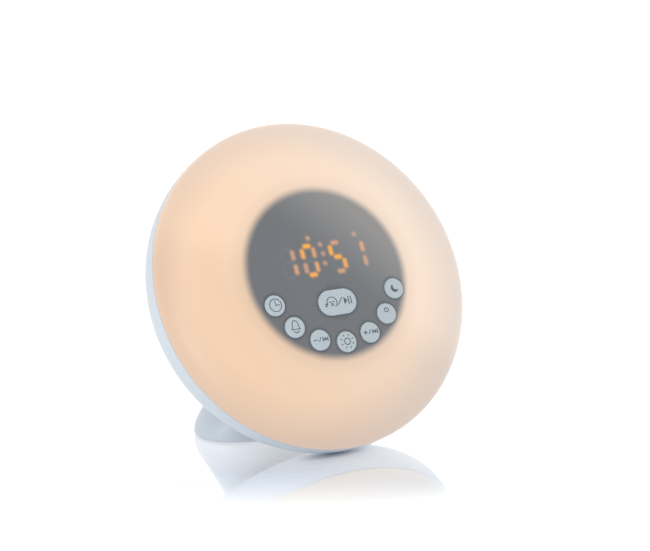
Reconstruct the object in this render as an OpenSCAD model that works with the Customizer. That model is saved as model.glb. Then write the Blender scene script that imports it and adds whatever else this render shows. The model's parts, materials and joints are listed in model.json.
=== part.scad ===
// Sunrise alarm clock: a round glowing head that leans back on a hollow foot.
// Millimetres, +Z up, the face looks along -Y.  The origin is on the table,
// under the middle of the whole clock.
//
// Two working frames are used.  The head frame has its zero at the middle of the
// head, x to the right, y up the face and z straight out of the face, with z = 0
// at the seam between the opal dome and the rear shell.  The foot frame stands
// upright on the table, with y = 0 straight under the middle of the head.

/* [Head] */
// Outer radius of the round head at its seam
head_r = 85; // [84.5:0.1:86]
// Lean of the head back from upright, in degrees
tilt = 30; // [29.5:0.1:30.5]
// Height of the middle of the head above the table
head_h = 79.9; // [79.9:0.1:81]
// Distance of the middle of the head in front of the origin
head_fwd = 5.53; // [5:0.01:6]
// Rise of the opal dome in front of the seam
dome_h = 21; // [20.9:0.1:22]
// Wall of the opal dome at its middle
dome_wall = 2; // [1.8:0.1:2.1]
// Depth of the rear shell behind the seam
shell_d = 28; // [28:0.1:29]
// Wall of the rear shell
shell_wall = 2.2; // [2:0.1:2.4]
// Radius of the flat middle of the back
flat_r = 58; // [57:0.5:59]

/* [Face and keys] */
// Radius of the dark face plate
face_r = 43.2; // [43:0.1:44]
// Radius of a round key
key_r = 5.3; // [5:0.05:5.3]
// Radius of the circle that the round keys stand on
key_circle = 36; // [35.5:0.1:36]
// Angle between two round keys, in degrees
key_step = 23; // [22:0.5:24]
// How far a round key stands out of the dome
key_proud = 1; // [0.7:0.1:1.4]
// Length of the snooze key
snooze_len = 21; // [19:0.5:22]
// Width of the snooze key
snooze_w = 13; // [12:0.5:13.5]
// Distance of the snooze key below the middle of the face
snooze_down = 15.8; // [15.4:0.1:16]
// How far the snooze key stands out of the dome
snooze_proud = 1.2; // [0.9:0.1:1.5]
// How far a key travels when it is pressed
key_travel = 0.6; // [0.3:0.05:0.6]

/* [Display] */
// Distance of the digits above the middle of the face
display_up = 7.2; // [7:0.1:7.6]
// Height of a digit between the middles of its top and bottom segments
digit_h = 14.8; // [13:0.1:15]
// Width of a digit between the middles of its upright segments
digit_w = 6.3; // [5.5:0.1:6.5]
// Distance from the colon to the middles of the inner digits
digit_near = 7.9; // [7.6:0.1:8.2]
// Distance from the colon to the middles of the outer digits
digit_far = 19.7; // [19:0.1:20]

/* [Foot] */
// Half the width of the foot where it is widest
foot_half_w = 53; // [52:0.1:54]
// Where the foot's front face stands, counted back from the middle of the head
foot_front = -1.5; // [-2:0.1:-1]
// Where the foot's back ends, counted back from the middle of the head
foot_back = 49; // [48.8:0.1:50]
// Wall of the foot
foot_wall = 2.6; // [2.4:0.1:2.8]
// Exponent of the foot's rounded outline, where 2 is an ellipse
foot_power = 2.15; // [2.1:0.05:2.3]

/* [Batteries] */
// Radius of one cell
cell_r = 5.25; // [5:0.05:5.3]
// Length of one cell with its button
cell_len = 44.5; // [43:0.5:44.5]
// Distance between two cells
cell_pitch = 11.4; // [11.3:0.1:11.5]

/* [Hidden] */

$fn = 96;
eps = 0.01;
fit = 0.3;              // air between two separate mouldings

// Levels in the head frame
back_z = -shell_d;                    // outer face of the back
back_in = back_z + shell_wall;        // inner face of the back
face_z = dome_h - 5;                  // underside of the face plate
face_t = 1.2;                         // thickness of the face plate
board_z = face_z - 8;                 // underside of the key board
board_t = 1.6;                        // thickness of every circuit board
main_z = back_in + 8.2;               // underside of the main board
switch_h = 3.5;                       // height of a key's switch without its plunger
plunger_top = face_z - 1.9;           // where a key's stem meets its switch
flange_z = -8;                        // underside of the carrier's outer flange
flange_t = 2.4;
boss_top = flange_z - 8;              // where shell bosses meet the carrier's bosses

// Colours
opal = [0.96, 0.86, 0.76];
ice_white = [0.86, 0.89, 0.94];
key_grey = [0.74, 0.80, 0.84];
dark_face = [0.36, 0.37, 0.39];
board_green = [0.10, 0.36, 0.22];
chip_black = [0.08, 0.08, 0.09];
bright_metal = [0.78, 0.78, 0.76];
lit_orange = [1.00, 0.55, 0.16];
lead_red = [0.62, 0.10, 0.08];
unlit_grey = [0.55, 0.58, 0.62];
pan_white = [0.93, 0.93, 0.92];
phosphor = [0.98, 0.90, 0.55];
sleeve_blue = [0.20, 0.24, 0.34];
socket_cream = [0.93, 0.91, 0.84];
ribbon_grey = [0.72, 0.74, 0.78];
foam_black = [0.12, 0.12, 0.13];
cone_black = [0.18, 0.18, 0.19];
rubber_black = [0.16, 0.16, 0.17];
tray_grey = [0.80, 0.82, 0.86];
cell_blue = [0.20, 0.30, 0.42];

// ------------------------------------------------------------ frames

module in_head() translate([0, -head_fwd, head_h]) rotate([90 - tilt, 0, 0]) children();
module in_foot() translate([0, -head_fwd, 0]) children();

// A point of the head frame, given in the foot frame
function head_to_foot(p) = [
    p[0],
    p[1] * sin(tilt) - p[2] * cos(tilt),
    head_h + p[1] * cos(tilt) + p[2] * sin(tilt)
];

// Everything in front of the back's outer face, to trim the foot
module head_side() {
    in_head() translate([-120, -120, back_z]) cube([240, 240, 120]);
}

// ------------------------------------------------------------ outlines

// Height of a dome over its rim at distance r from the middle
function dome_z(r, rim = head_r, rise = dome_h) = rise * pow(1 - pow(r / rim, 3), 1 / 2.1);

// The same dome as points from its rim to its crown
function dome_curve(rim, rise) = [
    for (a = [0:3:90]) [rim * pow(1 - pow(sin(a), 2.1), 1 / 3), rise * sin(a)]
];

// The rounded edge of the rear shell, from the seam to its flat back
shell_power = 2 / 2.78;
function shell_curve(across, deep) = [
    for (t = [0:5:90]) [flat_r + across * pow(cos(t), shell_power), -deep * pow(sin(t), shell_power)]
];

function reversed(list) = [for (i = [len(list) - 1:-1:0]) list[i]];

// Rounded stadium, len long and w wide, lying along x
module stadium(len, w) {
    square([len - w, w], center = true);
    for (side = [-1, 1]) translate([side * (len - w) / 2, 0]) circle(r = w / 2);
}

// Places of the keys in the head frame, the snooze key last
key_count = 7;
snooze = key_count;
function key_angle(i) = -90 + (i - 3) * key_step;
function key_place(i) = i < key_count
    ? [key_circle * cos(key_angle(i)), key_circle * sin(key_angle(i))]
    : [0, -snooze_down];

// Outlines of all the keys, drawn larger by a gap round the round ones and the snooze key
module key_shapes(round_gap, snooze_gap) {
    for (i = [0:key_count - 1]) translate(key_place(i)) circle(r = key_r + round_gap);
    translate(key_place(snooze)) stadium(snooze_len + 2 * snooze_gap, snooze_w + 2 * snooze_gap);
}

// ------------------------------------------------------------ small helpers

// Pan-head screw: the head's seat is at z = 0, the shank points down
module screw(head_r, head_t, shank_r, length) {
    color(bright_metal) difference() {
        union() {
            cylinder(r = head_r, h = head_t);
            translate([0, 0, -length]) cylinder(r = shank_r, h = length + eps);
        }
        for (turn = [0, 90]) rotate(turn)
            translate([-head_r * 0.6, -0.3, head_t * 0.45]) cube([head_r * 1.2, 0.6, head_t]);
    }
}

// Unbroken round tube along a list of points; aside is never along the path
function unit(v) = v / norm(v);
function way(path, i) = unit(path[min(i + 1, len(path) - 1)] - path[max(i - 1, 0)]);
module tube(path, r, sides, aside) {
    rings = len(path);
    pts = [
        for (i = [0:rings - 1])
            let (t = way(path, i), n = unit(cross(t, aside)), b = cross(t, n))
                for (k = [0:sides - 1])
                    path[i] + r * (n * cos(360 * k / sides) + b * sin(360 * k / sides))
    ];
    walls = [
        for (i = [0:rings - 2]) for (k = [0:sides - 1])
            let (a = i * sides + k, b = i * sides + (k + 1) % sides)
                each [[a, a + sides, b + sides], [a, b + sides, b]]
    ];
    caps = [
        for (k = [1:sides - 2]) each [
            [0, k, k + 1],
            [(rings - 1) * sides, (rings - 1) * sides + k + 1, (rings - 1) * sides + k]
        ]
    ];
    polyhedron(points = pts, faces = concat(walls, caps), convexity = 4);
}

// Smooth curve through hand-placed points
function blend4(a, b, c, d, t) = 0.5 * (2 * b + (c - a) * t
    + (2 * a - 5 * b + 4 * c - d) * t * t + (3 * b - a - 3 * c + d) * t * t * t);
function smooth_path(p, steps) = [
    for (i = [0:len(p) - 2]) for (s = [0:steps - 1])
        blend4(p[max(i - 1, 0)], p[i], p[i + 1], p[min(i + 2, len(p) - 1)], s / steps),
    p[len(p) - 1]
];

// ------------------------------------------------------------ front of the head

lip_r = head_r - 2.5;        // outside of the dome's locating lip
lip_in = head_r - 4;         // inside of the lip and of the dome's wall at the rim
lip_depth = 3;
hole_gap = 0.2;              // air between a key and its hole in the dome
module diffuser_dome() color(opal) in_head() difference() {
    rotate_extrude($fn = 160) polygon(concat(
        dome_curve(head_r, dome_h),
        reversed(dome_curve(lip_in, dome_h - dome_wall)),
        [[lip_in, -lip_depth], [lip_r, -lip_depth], [lip_r, 0]]
    ));
    linear_extrude(dome_h + 5) key_shapes(hole_gap, hole_gap);
}

display_w = 50;
display_h = 26;
module face_plate() color(dark_face) in_head() difference() {
    translate([0, 0, face_z]) cylinder(r = face_r, h = face_t);
    translate([0, 0, face_z - 1]) linear_extrude(face_t + 2) {
        key_shapes(0.8, 1.2);
        translate([0, display_up])
            square([display_w + 2 * fit, display_h + 2 * fit], center = true);
    }
}

// Cup that carries the face: its wall keeps the lamp's light out of the display
cup_r = face_r - 1.2;
boss_circle = 49;
rear_screw_angles = [30, 150, 195, 345];
board_screw_angles = [10, 90, 170];
board_screw_r = cup_r - 3.2;
ledge_r = cup_r - 6.4;       // inner edge of the ledge that the key board lies on
ledge_t = 1.5;
module front_carrier() color(ice_white) in_head() difference() {
    union() {
        rotate_extrude($fn = 128) polygon([
            [cup_r, flange_z], [boss_circle + 5, flange_z], [boss_circle + 5, flange_z + flange_t],
            [face_r, flange_z + flange_t], [face_r, face_z], [cup_r, face_z],
            [cup_r, board_z], [ledge_r, board_z], [ledge_r, board_z - ledge_t], [cup_r, board_z - ledge_t]
        ]);
        for (a = rear_screw_angles) rotate(a) translate([boss_circle, 0, boss_top])
            cylinder(r = 3.6, h = flange_z - boss_top + 1);
        for (a = board_screw_angles) rotate(a) translate([board_screw_r, 0, board_z - 7])
            cylinder(r = 2.6, h = 7 - ledge_t / 2);
    }
    for (a = rear_screw_angles) rotate(a) translate([boss_circle, 0, boss_top - 1])
        cylinder(r = 1.35, h = flange_z - boss_top + 2.4);
    for (a = board_screw_angles) rotate(a) translate([board_screw_r, 0, board_z - 5.6])
        cylinder(r = 1.05, h = 7);
}

// ------------------------------------------------------------ keys

// Half section of a key's cap: straight side, rounded edge, slightly crowned top
edge_r = 0.8;
crown = 0.15;
function cap_curve(r, top) = concat(
    [[r, -10]],
    [for (a = [0:15:90]) [r - edge_r + edge_r * cos(a), top - crown - edge_r + edge_r * sin(a)]],
    [[0, top]]
);
module cap_round(r, low, top) intersection() {
    rotate_extrude() polygon(concat(cap_curve(r, top), [[0, -10]]));
    translate([0, 0, low]) cylinder(r = r + 1, h = 40);
}

collar_z = face_z + 0.2;     // a key's collar stays under the dome and stops it falling out
collar_t = 0.8;
collar_w = 0.4;              // how far the collar reaches out, doubled on the snooze key
stem_r = 1.9;
module key_foot() translate([0, 0, plunger_top]) cylinder(r = stem_r, h = collar_z - plunger_top + eps);

module key_round(i) color(key_grey) in_head() translate(key_place(i)) {
    cap_round(key_r, collar_z, dome_z(key_circle) + key_proud);
    translate([0, 0, collar_z]) cylinder(r = key_r + collar_w, h = collar_t);
    key_foot();
}

// The snooze key: two half-round ends with the same section drawn out between them
module key_snooze() {
    half = (snooze_len - snooze_w) / 2;
    r = snooze_w / 2;
    top = dome_z(snooze_down) + snooze_proud;
    color(key_grey) in_head() translate(key_place(snooze)) {
        for (side = [-1, 1]) translate([side * half, 0, 0]) cap_round(r, collar_z, top);
        intersection() {
            translate([-half, 0, 0]) rotate([90, 0, 90]) linear_extrude(2 * half) polygon(concat(
                cap_curve(r, top),
                [for (p = reversed(cap_curve(r, top))) [-p[0], p[1]]]
            ));
            translate([-half, -r, collar_z]) cube([2 * half, 2 * r, 40]);
        }
        translate([0, 0, collar_z])
            linear_extrude(collar_t) stadium(snooze_len + 4 * collar_w, snooze_w + 4 * collar_w);
        key_foot();
    }
}

switch_top = board_z + board_t + switch_h;
plunger_r = 1.6;
plunger_sunk = 0.9;           // length of a plunger inside its switch
module plunger(i) color(chip_black) in_head() translate(key_place(i))
    translate([0, 0, switch_top - plunger_sunk])
        cylinder(r = plunger_r, h = plunger_top - switch_top + plunger_sunk);

// Each switch: a square can with four flat legs on the board
switch_w = 6;
leg = [0.9, 0.7, 0.3];
module key_switches() color(bright_metal) in_head()
    for (i = [0:snooze]) translate(key_place(i)) difference() {
        translate([0, 0, board_z + board_t]) {
            translate([-switch_w / 2, -switch_w / 2, 0]) cube([switch_w, switch_w, switch_h]);
            for (x = [-1, 1]) for (y = [-1, 1])
                translate([x * (switch_w + leg[0] - eps) / 2, y * switch_w * 0.375, leg[2] / 2])
                    cube(leg, center = true);
        }
        translate([0, 0, switch_top - plunger_sunk - key_travel - 0.2]) cylinder(r = plunger_r + 0.1, h = 3);
    }

module key_board() color(board_green) in_head() difference() {
    translate([0, 0, board_z]) cylinder(r = cup_r - 0.4, h = board_t);
    for (a = board_screw_angles) rotate(a) translate([board_screw_r, 0, board_z - 1])
        cylinder(r = 1.2, h = board_t + 2);
}

module key_board_screws() in_head() for (a = board_screw_angles) rotate(a)
    translate([board_screw_r, 0, board_z + board_t]) screw(2, 1.3, 1, 5);

// ------------------------------------------------------------ display

segment_z = dome_h - dome_wall - 1.1;     // front of the module, just under the dome
segment_t = 0.4;
segment_w = 1.9;

// One pointed segment along x
module segment(len) polygon([
    [-len / 2, 0], [-len / 2 + segment_w / 2, segment_w / 2], [len / 2 - segment_w / 2, segment_w / 2],
    [len / 2, 0], [len / 2 - segment_w / 2, -segment_w / 2], [-len / 2 + segment_w / 2, -segment_w / 2]
]);

// Segments a to g as [x, y, turn, length]
function segments() = let (w = digit_w / 2, h = digit_h / 2, long = digit_h / 2 - 0.5, wide = digit_w - 0.4) [
    [0, h, 0, wide], [w, h / 2, 90, long], [w, -h / 2, 90, long], [0, -h, 0, wide],
    [-w, -h / 2, 90, long], [-w, h / 2, 90, long], [0, 0, 0, wide]
];
digit_x = [-digit_far, -digit_near, digit_near, digit_far];
// The segments that are lit in each digit, so that the display reads 10:51
lit = [[1, 2], [0, 1, 2, 3, 4, 5], [0, 2, 3, 5, 6], [1, 2]];
function is_lit(digit, k) = len(search(k, lit[digit])) > 0;

module digit_bars(want_lit) for (d = [0:3]) for (k = [0:6])
    if (is_lit(d, k) == want_lit) {
        s = segments()[k];
        translate([digit_x[d] + s[0], s[1]]) rotate(s[2]) linear_extrude(segment_t) segment(s[3]);
    }

colon_half = 2.4;
dot_r = 0.7;
small_dots = [[-0.2, 7.4], [-6.1, 11.3], [20, 10.5]];    // over the colon, the second and the fourth digit

module lit_segments() color(lit_orange) in_head() translate([0, display_up, segment_z]) {
    digit_bars(true);
    for (p = concat(small_dots, [[0, -colon_half], [0, colon_half]]))
        translate(p) cylinder(r = dot_r, h = segment_t);
}

module unlit_segments() color(unlit_grey) in_head()
    translate([0, display_up, segment_z]) digit_bars(false);

module display_module() color(chip_black) in_head()
    translate([-display_w / 2, display_up - display_h / 2, board_z + board_t])
        cube([display_w, display_h, segment_z - board_z - board_t]);

// ------------------------------------------------------------ lamp

pan_z = flange_z + flange_t;        // the reflector lies on the carrier's flange
pan_t = 1.4;
pan_in = face_r + 0.3;
pan_out = head_r - 11;
lamp_r = head_r - 25;
module reflector_pan() color(pan_white) in_head() difference() {
    rotate_extrude($fn = 128) polygon([
        [pan_in, pan_z], [pan_out, pan_z], [lip_in - 1.6, -1.4], [lip_in - 0.6, -1.4],
        [lip_in - 0.6, -0.4], [lip_in - 2.2, -0.4], [pan_out - 0.4, pan_z + pan_t], [pan_in, pan_z + pan_t]
    ]);
    translate([-lamp_r - 2, 0, pan_z - 1]) cylinder(r = 2.2, h = pan_t + 2);
}

lamp_board_t = 1.6;
lamp_board_z = pan_z + pan_t;
module lamp_board() color(pan_white) in_head() difference() {
    translate([0, 0, lamp_board_z]) cylinder(r = lamp_r + 9, h = lamp_board_t);
    translate([0, 0, lamp_board_z - 1]) cylinder(r = lamp_r - 9, h = lamp_board_t + 2);
}

lamp_count = 24;
module lamp_leds() color(phosphor) in_head() for (i = [0:lamp_count - 1])
    rotate(i * 360 / lamp_count) translate([lamp_r, 0, lamp_board_z + lamp_board_t]) {
        translate([-1.75, -1.4, 0]) cube([3.5, 2.8, 0.9]);
        translate([0, 0, 0.9 - eps]) cylinder(r = 1.1, h = 0.4);
    }

// ------------------------------------------------------------ main board

main_low = [-34, -39];
main_size = [74, 50];
main_posts = [[-30, -35], [36, -35], [-30, 7], [20, 7]];
main_top = main_z + board_t;
inlet_at = [33, 0];
module main_board() color(board_green) in_head() difference() {
    translate([main_low[0], main_low[1], main_z]) cube([main_size[0], main_size[1], board_t]);
    for (p = main_posts) translate([p[0], p[1], main_z - 1]) cylinder(r = 1.4, h = board_t + 2);
}

// Chips as [x, y, length, width, height]
chips = [
    [-6, -8, 10, 10, 1.6], [10, -12, 6, 5, 1.5], [26, -26, 5, 4, 1.5],
    [-22, -22, 13, 10, 2], [-8, -30, 6, 5, 1.6], [12, -24, 7, 7, 2.6], [24, -9, 7, 6, 2.8]
];
module board_chips() color(chip_black) in_head() for (c = chips)
    translate([c[0] - c[2] / 2, c[1] - c[3] / 2, main_top]) cube([c[2], c[3], c[4]]);

capacitors = [[32, -14, 3.1, 7], [4, -33, 2.5, 6], [18, -34, 2.5, 6]];
module board_capacitors() color(sleeve_blue) in_head() for (c = capacitors)
    translate([c[0], c[1], main_top]) {
        cylinder(r = c[2], h = c[3] * 0.12);
        cylinder(r = c[2] - 0.25, h = c[3] * 0.2);
        translate([0, 0, c[3] * 0.2 - eps]) cylinder(r = c[2], h = c[3] * 0.8);
    }

// Plug-in sockets for the leads and the ribbon, as [x, y, length, width]
sockets = [[-30, -3, 6, 6], [7, 6, 6, 5]];
ribbon_x = -16;
ribbon_w = 10;
ribbon_low = [2, main_top];
ribbon_high = [-8, board_z];
module lead_sockets() color(socket_cream) in_head() {
    for (s = sockets) translate([s[0] - s[2] / 2, s[1] - s[3] / 2, main_top]) cube([s[2], s[3], 4.5]);
    translate([ribbon_x - ribbon_w / 2 - 1, ribbon_low[0] - 1.8, main_top]) cube([ribbon_w + 2, 3.6, 2.6]);
    translate([ribbon_x - ribbon_w / 2 - 1, ribbon_high[0] - 1.8, board_z - 2.6])
        cube([ribbon_w + 2, 3.6, 2.6]);
    translate([-3, -24, main_z - 4]) cube([6, 6, 4]);
}

module main_board_screws() in_head() for (p = main_posts)
    translate([p[0], p[1], main_top]) screw(2.4, 1.5, 1.2, 6);

// Flat ribbon that hangs in an S between the two boards
module ribbon_cable() {
    low = ribbon_low[1] + 2.6;
    high = ribbon_high[1] - 2.6;
    half_t = 0.3;
    spine = [for (s = [0:0.05:1])
        [ribbon_low[0] + (ribbon_high[0] - ribbon_low[0]) * s - 5 * sin(360 * s), low + (high - low) * s]];
    color(ribbon_grey) in_head()
        translate([ribbon_x - ribbon_w / 2, 0, 0]) rotate([90, 0, 90]) linear_extrude(ribbon_w)
            polygon(concat(
                [for (p = spine) [p[0] - half_t, p[1]]],
                reversed([for (p = spine) [p[0] + half_t, p[1]]])
            ));
}

// Barrel jack on the back of the main board, with its pin
inlet_r = 2.9;
inlet_nose_r = 4.3;
module power_inlet() color(chip_black) in_head() translate([inlet_at[0], inlet_at[1], 0]) {
    difference() {
        union() {
            translate([-4.6, -5.5, back_in]) cube([9.2, 11, main_z - back_in]);
            translate([0, 0, back_z]) cylinder(r = inlet_nose_r, h = shell_wall + eps);
        }
        translate([0, 0, back_z - 1]) cylinder(r = inlet_r, h = 10);
    }
    translate([0, 0, back_z + 1.2]) cylinder(r = 1, h = 8.3);
}

// ------------------------------------------------------------ loudspeaker

speaker_at = [0, 34, 0];
speaker_r = 20;
speaker_fix_r = 22.8;
gasket_t = 0.8;
grille_r = 21.85;
grille_t = 1.4;
speaker_fix_angles = [30, 150, 270];
speaker_z = back_in + gasket_t;        // front of the loudspeaker's flange

// A pattern of holes in rings, the nth ring with six more holes than the one inside it
grille_pitch = 3.4;
module grille_holes(rings, r) {
    cylinder(r = r, h = 10, center = true);
    for (ring = [1:rings]) for (i = [0:6 * ring - 1])
        rotate(i * 60 / ring) translate([ring * grille_pitch, 0, 0])
            cylinder(r = r, h = 10, center = true, $fn = 24);
}

module speaker_grille() color(ice_white) in_head() translate(speaker_at + [0, 0, back_z])
    difference() {
        rotate_extrude() polygon([
            [0, 0], [grille_r - 2.4, 0], [grille_r - 1.8, 0.5], [grille_r - 1.2, 0.5],
            [grille_r - 0.6, 0], [grille_r, 0], [grille_r, grille_t], [0, grille_t]
        ]);
        grille_holes(5, 0.95);
    }

module speaker_gasket() color(foam_black) in_head() translate(speaker_at + [0, 0, back_in])
    difference() {
        cylinder(r = speaker_r, h = gasket_t);
        translate([0, 0, -1]) cylinder(r = speaker_r - 3.2, h = gasket_t + 2);
    }

// Pressed basket: flange with three ears, conical wall with three windows, seat for the magnet
ear_r = 2.6;
window = [10, 9, 3.8];
module speaker_frame() color(bright_metal) in_head() translate(speaker_at + [0, 0, speaker_z])
    difference() {
        union() {
            rotate_extrude() polygon([
                [5, 6.8], [11, 6.8], [16.2, 1], [16.2, 0], [speaker_r, 0], [speaker_r, 1],
                [17.6, 1], [12.2, 7.8], [5, 7.8]
            ]);
            for (a = speaker_fix_angles) rotate(a) {
                translate([speaker_fix_r, 0, 0]) cylinder(r = ear_r, h = 1);
                translate([speaker_r - 2.2, -ear_r, 0]) cube([speaker_fix_r - speaker_r + 2.2, 2 * ear_r, 1]);
            }
        }
        for (a = speaker_fix_angles) rotate(a) {
            translate([speaker_fix_r, 0, -1]) cylinder(r = 1.2, h = 3);
            rotate(60) translate([10, -window[1] / 2, 1.9]) cube(window);
        }
    }

module speaker_cone() color(cone_black) in_head() translate(speaker_at + [0, 0, speaker_z])
    rotate_extrude() polygon([
        [16.1, 0], [16.1, 0.5], [15, 0.9], [6.6, 4.2], [4.6, 3], [0, 2.2], [0, 1.7], [4.9, 2.5],
        [6.8, 3.6], [15, 0.4], [15.6, 0]
    ]);

module speaker_magnet() color(chip_black) in_head() translate(speaker_at + [0, 0, speaker_z]) {
    translate([0, 0, 4.8]) cylinder(r = 4.6, h = 3 + eps);
    translate([0, 0, 7.8]) cylinder(r = 11, h = 5.6);
}

module speaker_screws() in_head() translate(speaker_at + [0, 0, speaker_z + 1])
    for (a = speaker_fix_angles) rotate(a) translate([speaker_fix_r, 0, 0]) screw(2.2, 1.3, 0.95, 2.6);

// ------------------------------------------------------------ rear shell

foot_screw_at = [[-18, -18], [18, -18], [0, -40]];
foot_screw_r = 1.7;          // hole for a foot screw's shank
lead_hole_at = [0, -27];
lead_hole_r = 4.5;
rib_count = 12;
groove_t = 0.6;              // shadow groove under the seam
groove_in = 0.8;
well_r = 3.4;                // well that a rear screw's head sits in
well_depth = 5;
module rear_shell() color(ice_white) in_head() difference() {
    union() {
        rotate_extrude($fn = 160) polygon(concat(
            shell_curve(head_r - flat_r, shell_d),
            [[0, back_z], [0, back_in]],
            reversed(shell_curve(head_r - flat_r - shell_wall, shell_d - shell_wall))
        ));
        // stiffening ribs in the rounded corner
        intersection() {
            rotate_extrude() polygon(concat(
                shell_curve(head_r - flat_r - 1, shell_d - 1), [[flat_r - 2, 1 - shell_d], [flat_r - 2, 0]]
            ));
            for (i = [0:rib_count - 1]) rotate((i + 0.5) * 360 / rib_count)
                translate([flat_r - 1, -0.7, back_in - 1]) cube([30, 1.4, 9]);
        }
        for (a = rear_screw_angles) rotate(a) translate([boss_circle, 0, back_in - eps])
            cylinder(r = 5, h = boss_top - back_in + eps);
        for (p = main_posts) translate([p[0], p[1], back_in - eps])
            cylinder(r = 2.6, h = main_z - back_in + eps);
        for (a = speaker_fix_angles) translate(speaker_at) rotate(a)
            translate([speaker_fix_r, 0, back_in - eps]) cylinder(r = 2.4, h = gasket_t + eps);
    }
    // shadow groove under the seam
    difference() {
        translate([0, 0, -groove_t]) cylinder(r = head_r + 2, h = 2, $fn = 160);
        translate([0, 0, -1]) cylinder(r = head_r - groove_in, h = 3, $fn = 160);
    }
    for (a = rear_screw_angles) rotate(a) translate([boss_circle, 0, 0]) {
        translate([0, 0, back_z - 1]) cylinder(r = well_r, h = well_depth + 1);
        translate([0, 0, back_z]) cylinder(r = 1.7, h = shell_d);
    }
    for (p = main_posts) translate([p[0], p[1], main_z - 6.5]) cylinder(r = 1.25, h = 8);
    translate(speaker_at) {
        translate([0, 0, back_z - 1]) cylinder(r = grille_r + 0.15, h = grille_t + 1);
        translate([0, 0, back_z - 1]) cylinder(r = speaker_r - 1, h = shell_wall + 2);
        for (a = speaker_fix_angles) rotate(a) translate([speaker_fix_r, 0, speaker_z - 2])
            cylinder(r = 1, h = 3);
    }
    translate([inlet_at[0], inlet_at[1], back_z - 1]) cylinder(r = inlet_nose_r + 0.2, h = shell_wall + 2);
    translate([lead_hole_at[0], lead_hole_at[1], back_z - 1]) cylinder(r = lead_hole_r, h = shell_wall + 2);
    for (p = foot_screw_at) translate([p[0], p[1], back_z - 1]) cylinder(r = foot_screw_r, h = shell_wall + 2);
}

module rear_screws() in_head() for (a = rear_screw_angles) rotate(a)
    translate([boss_circle, 0, back_z + well_depth]) mirror([0, 0, 1]) screw(3, 2.2, 1.3, 13);

// ------------------------------------------------------------ foot

base_z = 0.6;                // underside of the foot above the table
edge_round = 1.2;            // rounding of the foot's bottom edge
neck_half_w = 20;            // half width that the sides draw in to behind the head
neck_start = 3.3;            // height where the sides begin to draw in
neck_rise = 33.1;            // height over which they draw in by half
lean_start = 5;              // the back leans in between these two heights
lean_top = 72;
lean_in = 23.2;              // how far it leans in

// Half width and back line of the foot at height z
function foot_a(z) = neck_half_w
    + (foot_half_w - neck_half_w) / (1 + pow(max(z - neck_start, 0) / neck_rise, 1.571));
function foot_rear(z) = foot_back - lean_in * pow(max(z - lean_start, 0) / (lean_top - lean_start), 1.5);
// How far the bottom edge is rounded in at height z
function edge_in(z) = let (d = max(base_z + edge_round - z, 0)) edge_round - sqrt(edge_round * edge_round - d * d);

foot_sides = 56;
function foot_ring(z, inset) = let (
    a = foot_a(z) - inset,
    y0 = foot_front + inset,
    y1 = foot_rear(z) - inset,
    b = (y1 - y0) / 2
) [for (i = [0:foot_sides - 1]) let (c = cos(360 * i / foot_sides), s = sin(360 * i / foot_sides))
    [a * sign(c) * pow(abs(c), 2 / foot_power), (y0 + y1) / 2 + b * sign(s) * pow(abs(s), 2 / foot_power), z]];

// Solid drawn through rings that have the same number of points
module loft(rings) {
    n = len(rings[0]);
    last = (len(rings) - 1) * n;
    walls = [for (j = [0:len(rings) - 2]) for (i = [0:n - 1])
        let (a = j * n + i, b = j * n + (i + 1) % n) each [[a, a + n, b + n], [a, b + n, b]]];
    polyhedron(
        points = [for (ring = rings) each ring],
        faces = concat(walls, [[for (i = [0:n - 1]) i]], [[for (i = [n - 1:-1:0]) last + i]]),
        convexity = 4
    );
}

foot_levels = [5, 8, 12, 17, 23, 30, 38, 46, 54, 62, 70, 78];
module foot_solid() loft(concat(
    [for (d = [0, 0.12, 0.4, 1]) foot_ring(base_z + d * edge_round, edge_in(base_z + d * edge_round))],
    [for (z = foot_levels) foot_ring(z, 0)]
));
module foot_hollow(extra) loft([for (z = concat([base_z - 1], foot_levels)) foot_ring(z, foot_wall + extra)]);

door_half = 23.7;            // half width of the battery door's plate
lip_half = 26;               // half width of its upright lip
flange_w = lip_half - door_half + 2;
flange_len = 34;
lip_top = 9;
lip_front = 36;              // front of the notch that the lip fills
door_front = 5.8;            // front edge of the battery door
door_t = 1.8;
base_mid = (foot_front + foot_back) / 2;
base_fix = [for (side = [-32, 32]) for (step = [-13.6, 13.6]) [side, base_mid + step]];
base_boss_r = 3.2;
tray_top = 16.6;
module foot_shell() color(ice_white) difference() {
    in_foot() difference() {
        foot_solid();
        difference() {
            foot_hollow(0);
            for (p = base_fix) translate([p[0], p[1], base_z + 2]) {
                cylinder(r = base_boss_r, h = 14);
                translate([-1, p[1] > base_mid ? 0 : -8, 0]) cube([2, 8, 14]);
            }
            for (side = [-1, 1]) translate([side * 13 - 1, -10, tray_top]) cube([2, 60, 9]);
            foot_bosses();
        }
        for (p = base_fix) translate([p[0], p[1], 0]) cylinder(r = 1.35, h = 12);
        translate([-lip_half - fit, lip_front, 0]) cube([2 * (lip_half + fit), 30, lip_top + fit]);
    }
    head_side();
    in_head() for (p = foot_screw_at) translate([p[0], p[1], back_z - 8]) cylinder(r = 1.35, h = 9);
}

// Screw bosses under the head's back, each tied to the wall by a rib
foot_boss_h = 12;
module foot_bosses() translate([0, head_fwd, 0]) in_head()
    for (p = foot_screw_at) translate([p[0], p[1], back_z + 1 - foot_boss_h]) {
        cylinder(r = 3.4, h = foot_boss_h);
        if (p[0] == 0) translate([-1, -10, 0]) cube([2, 10, foot_boss_h]);
        else translate([min(0, 2 * p[0]), -1, 0]) cube([2 * abs(p[0]), 2, foot_boss_h]);
    }

module foot_screws() in_head() for (p = foot_screw_at)
    translate([p[0], p[1], back_in]) screw(2.9, 2, 1.3, 9);

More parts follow.
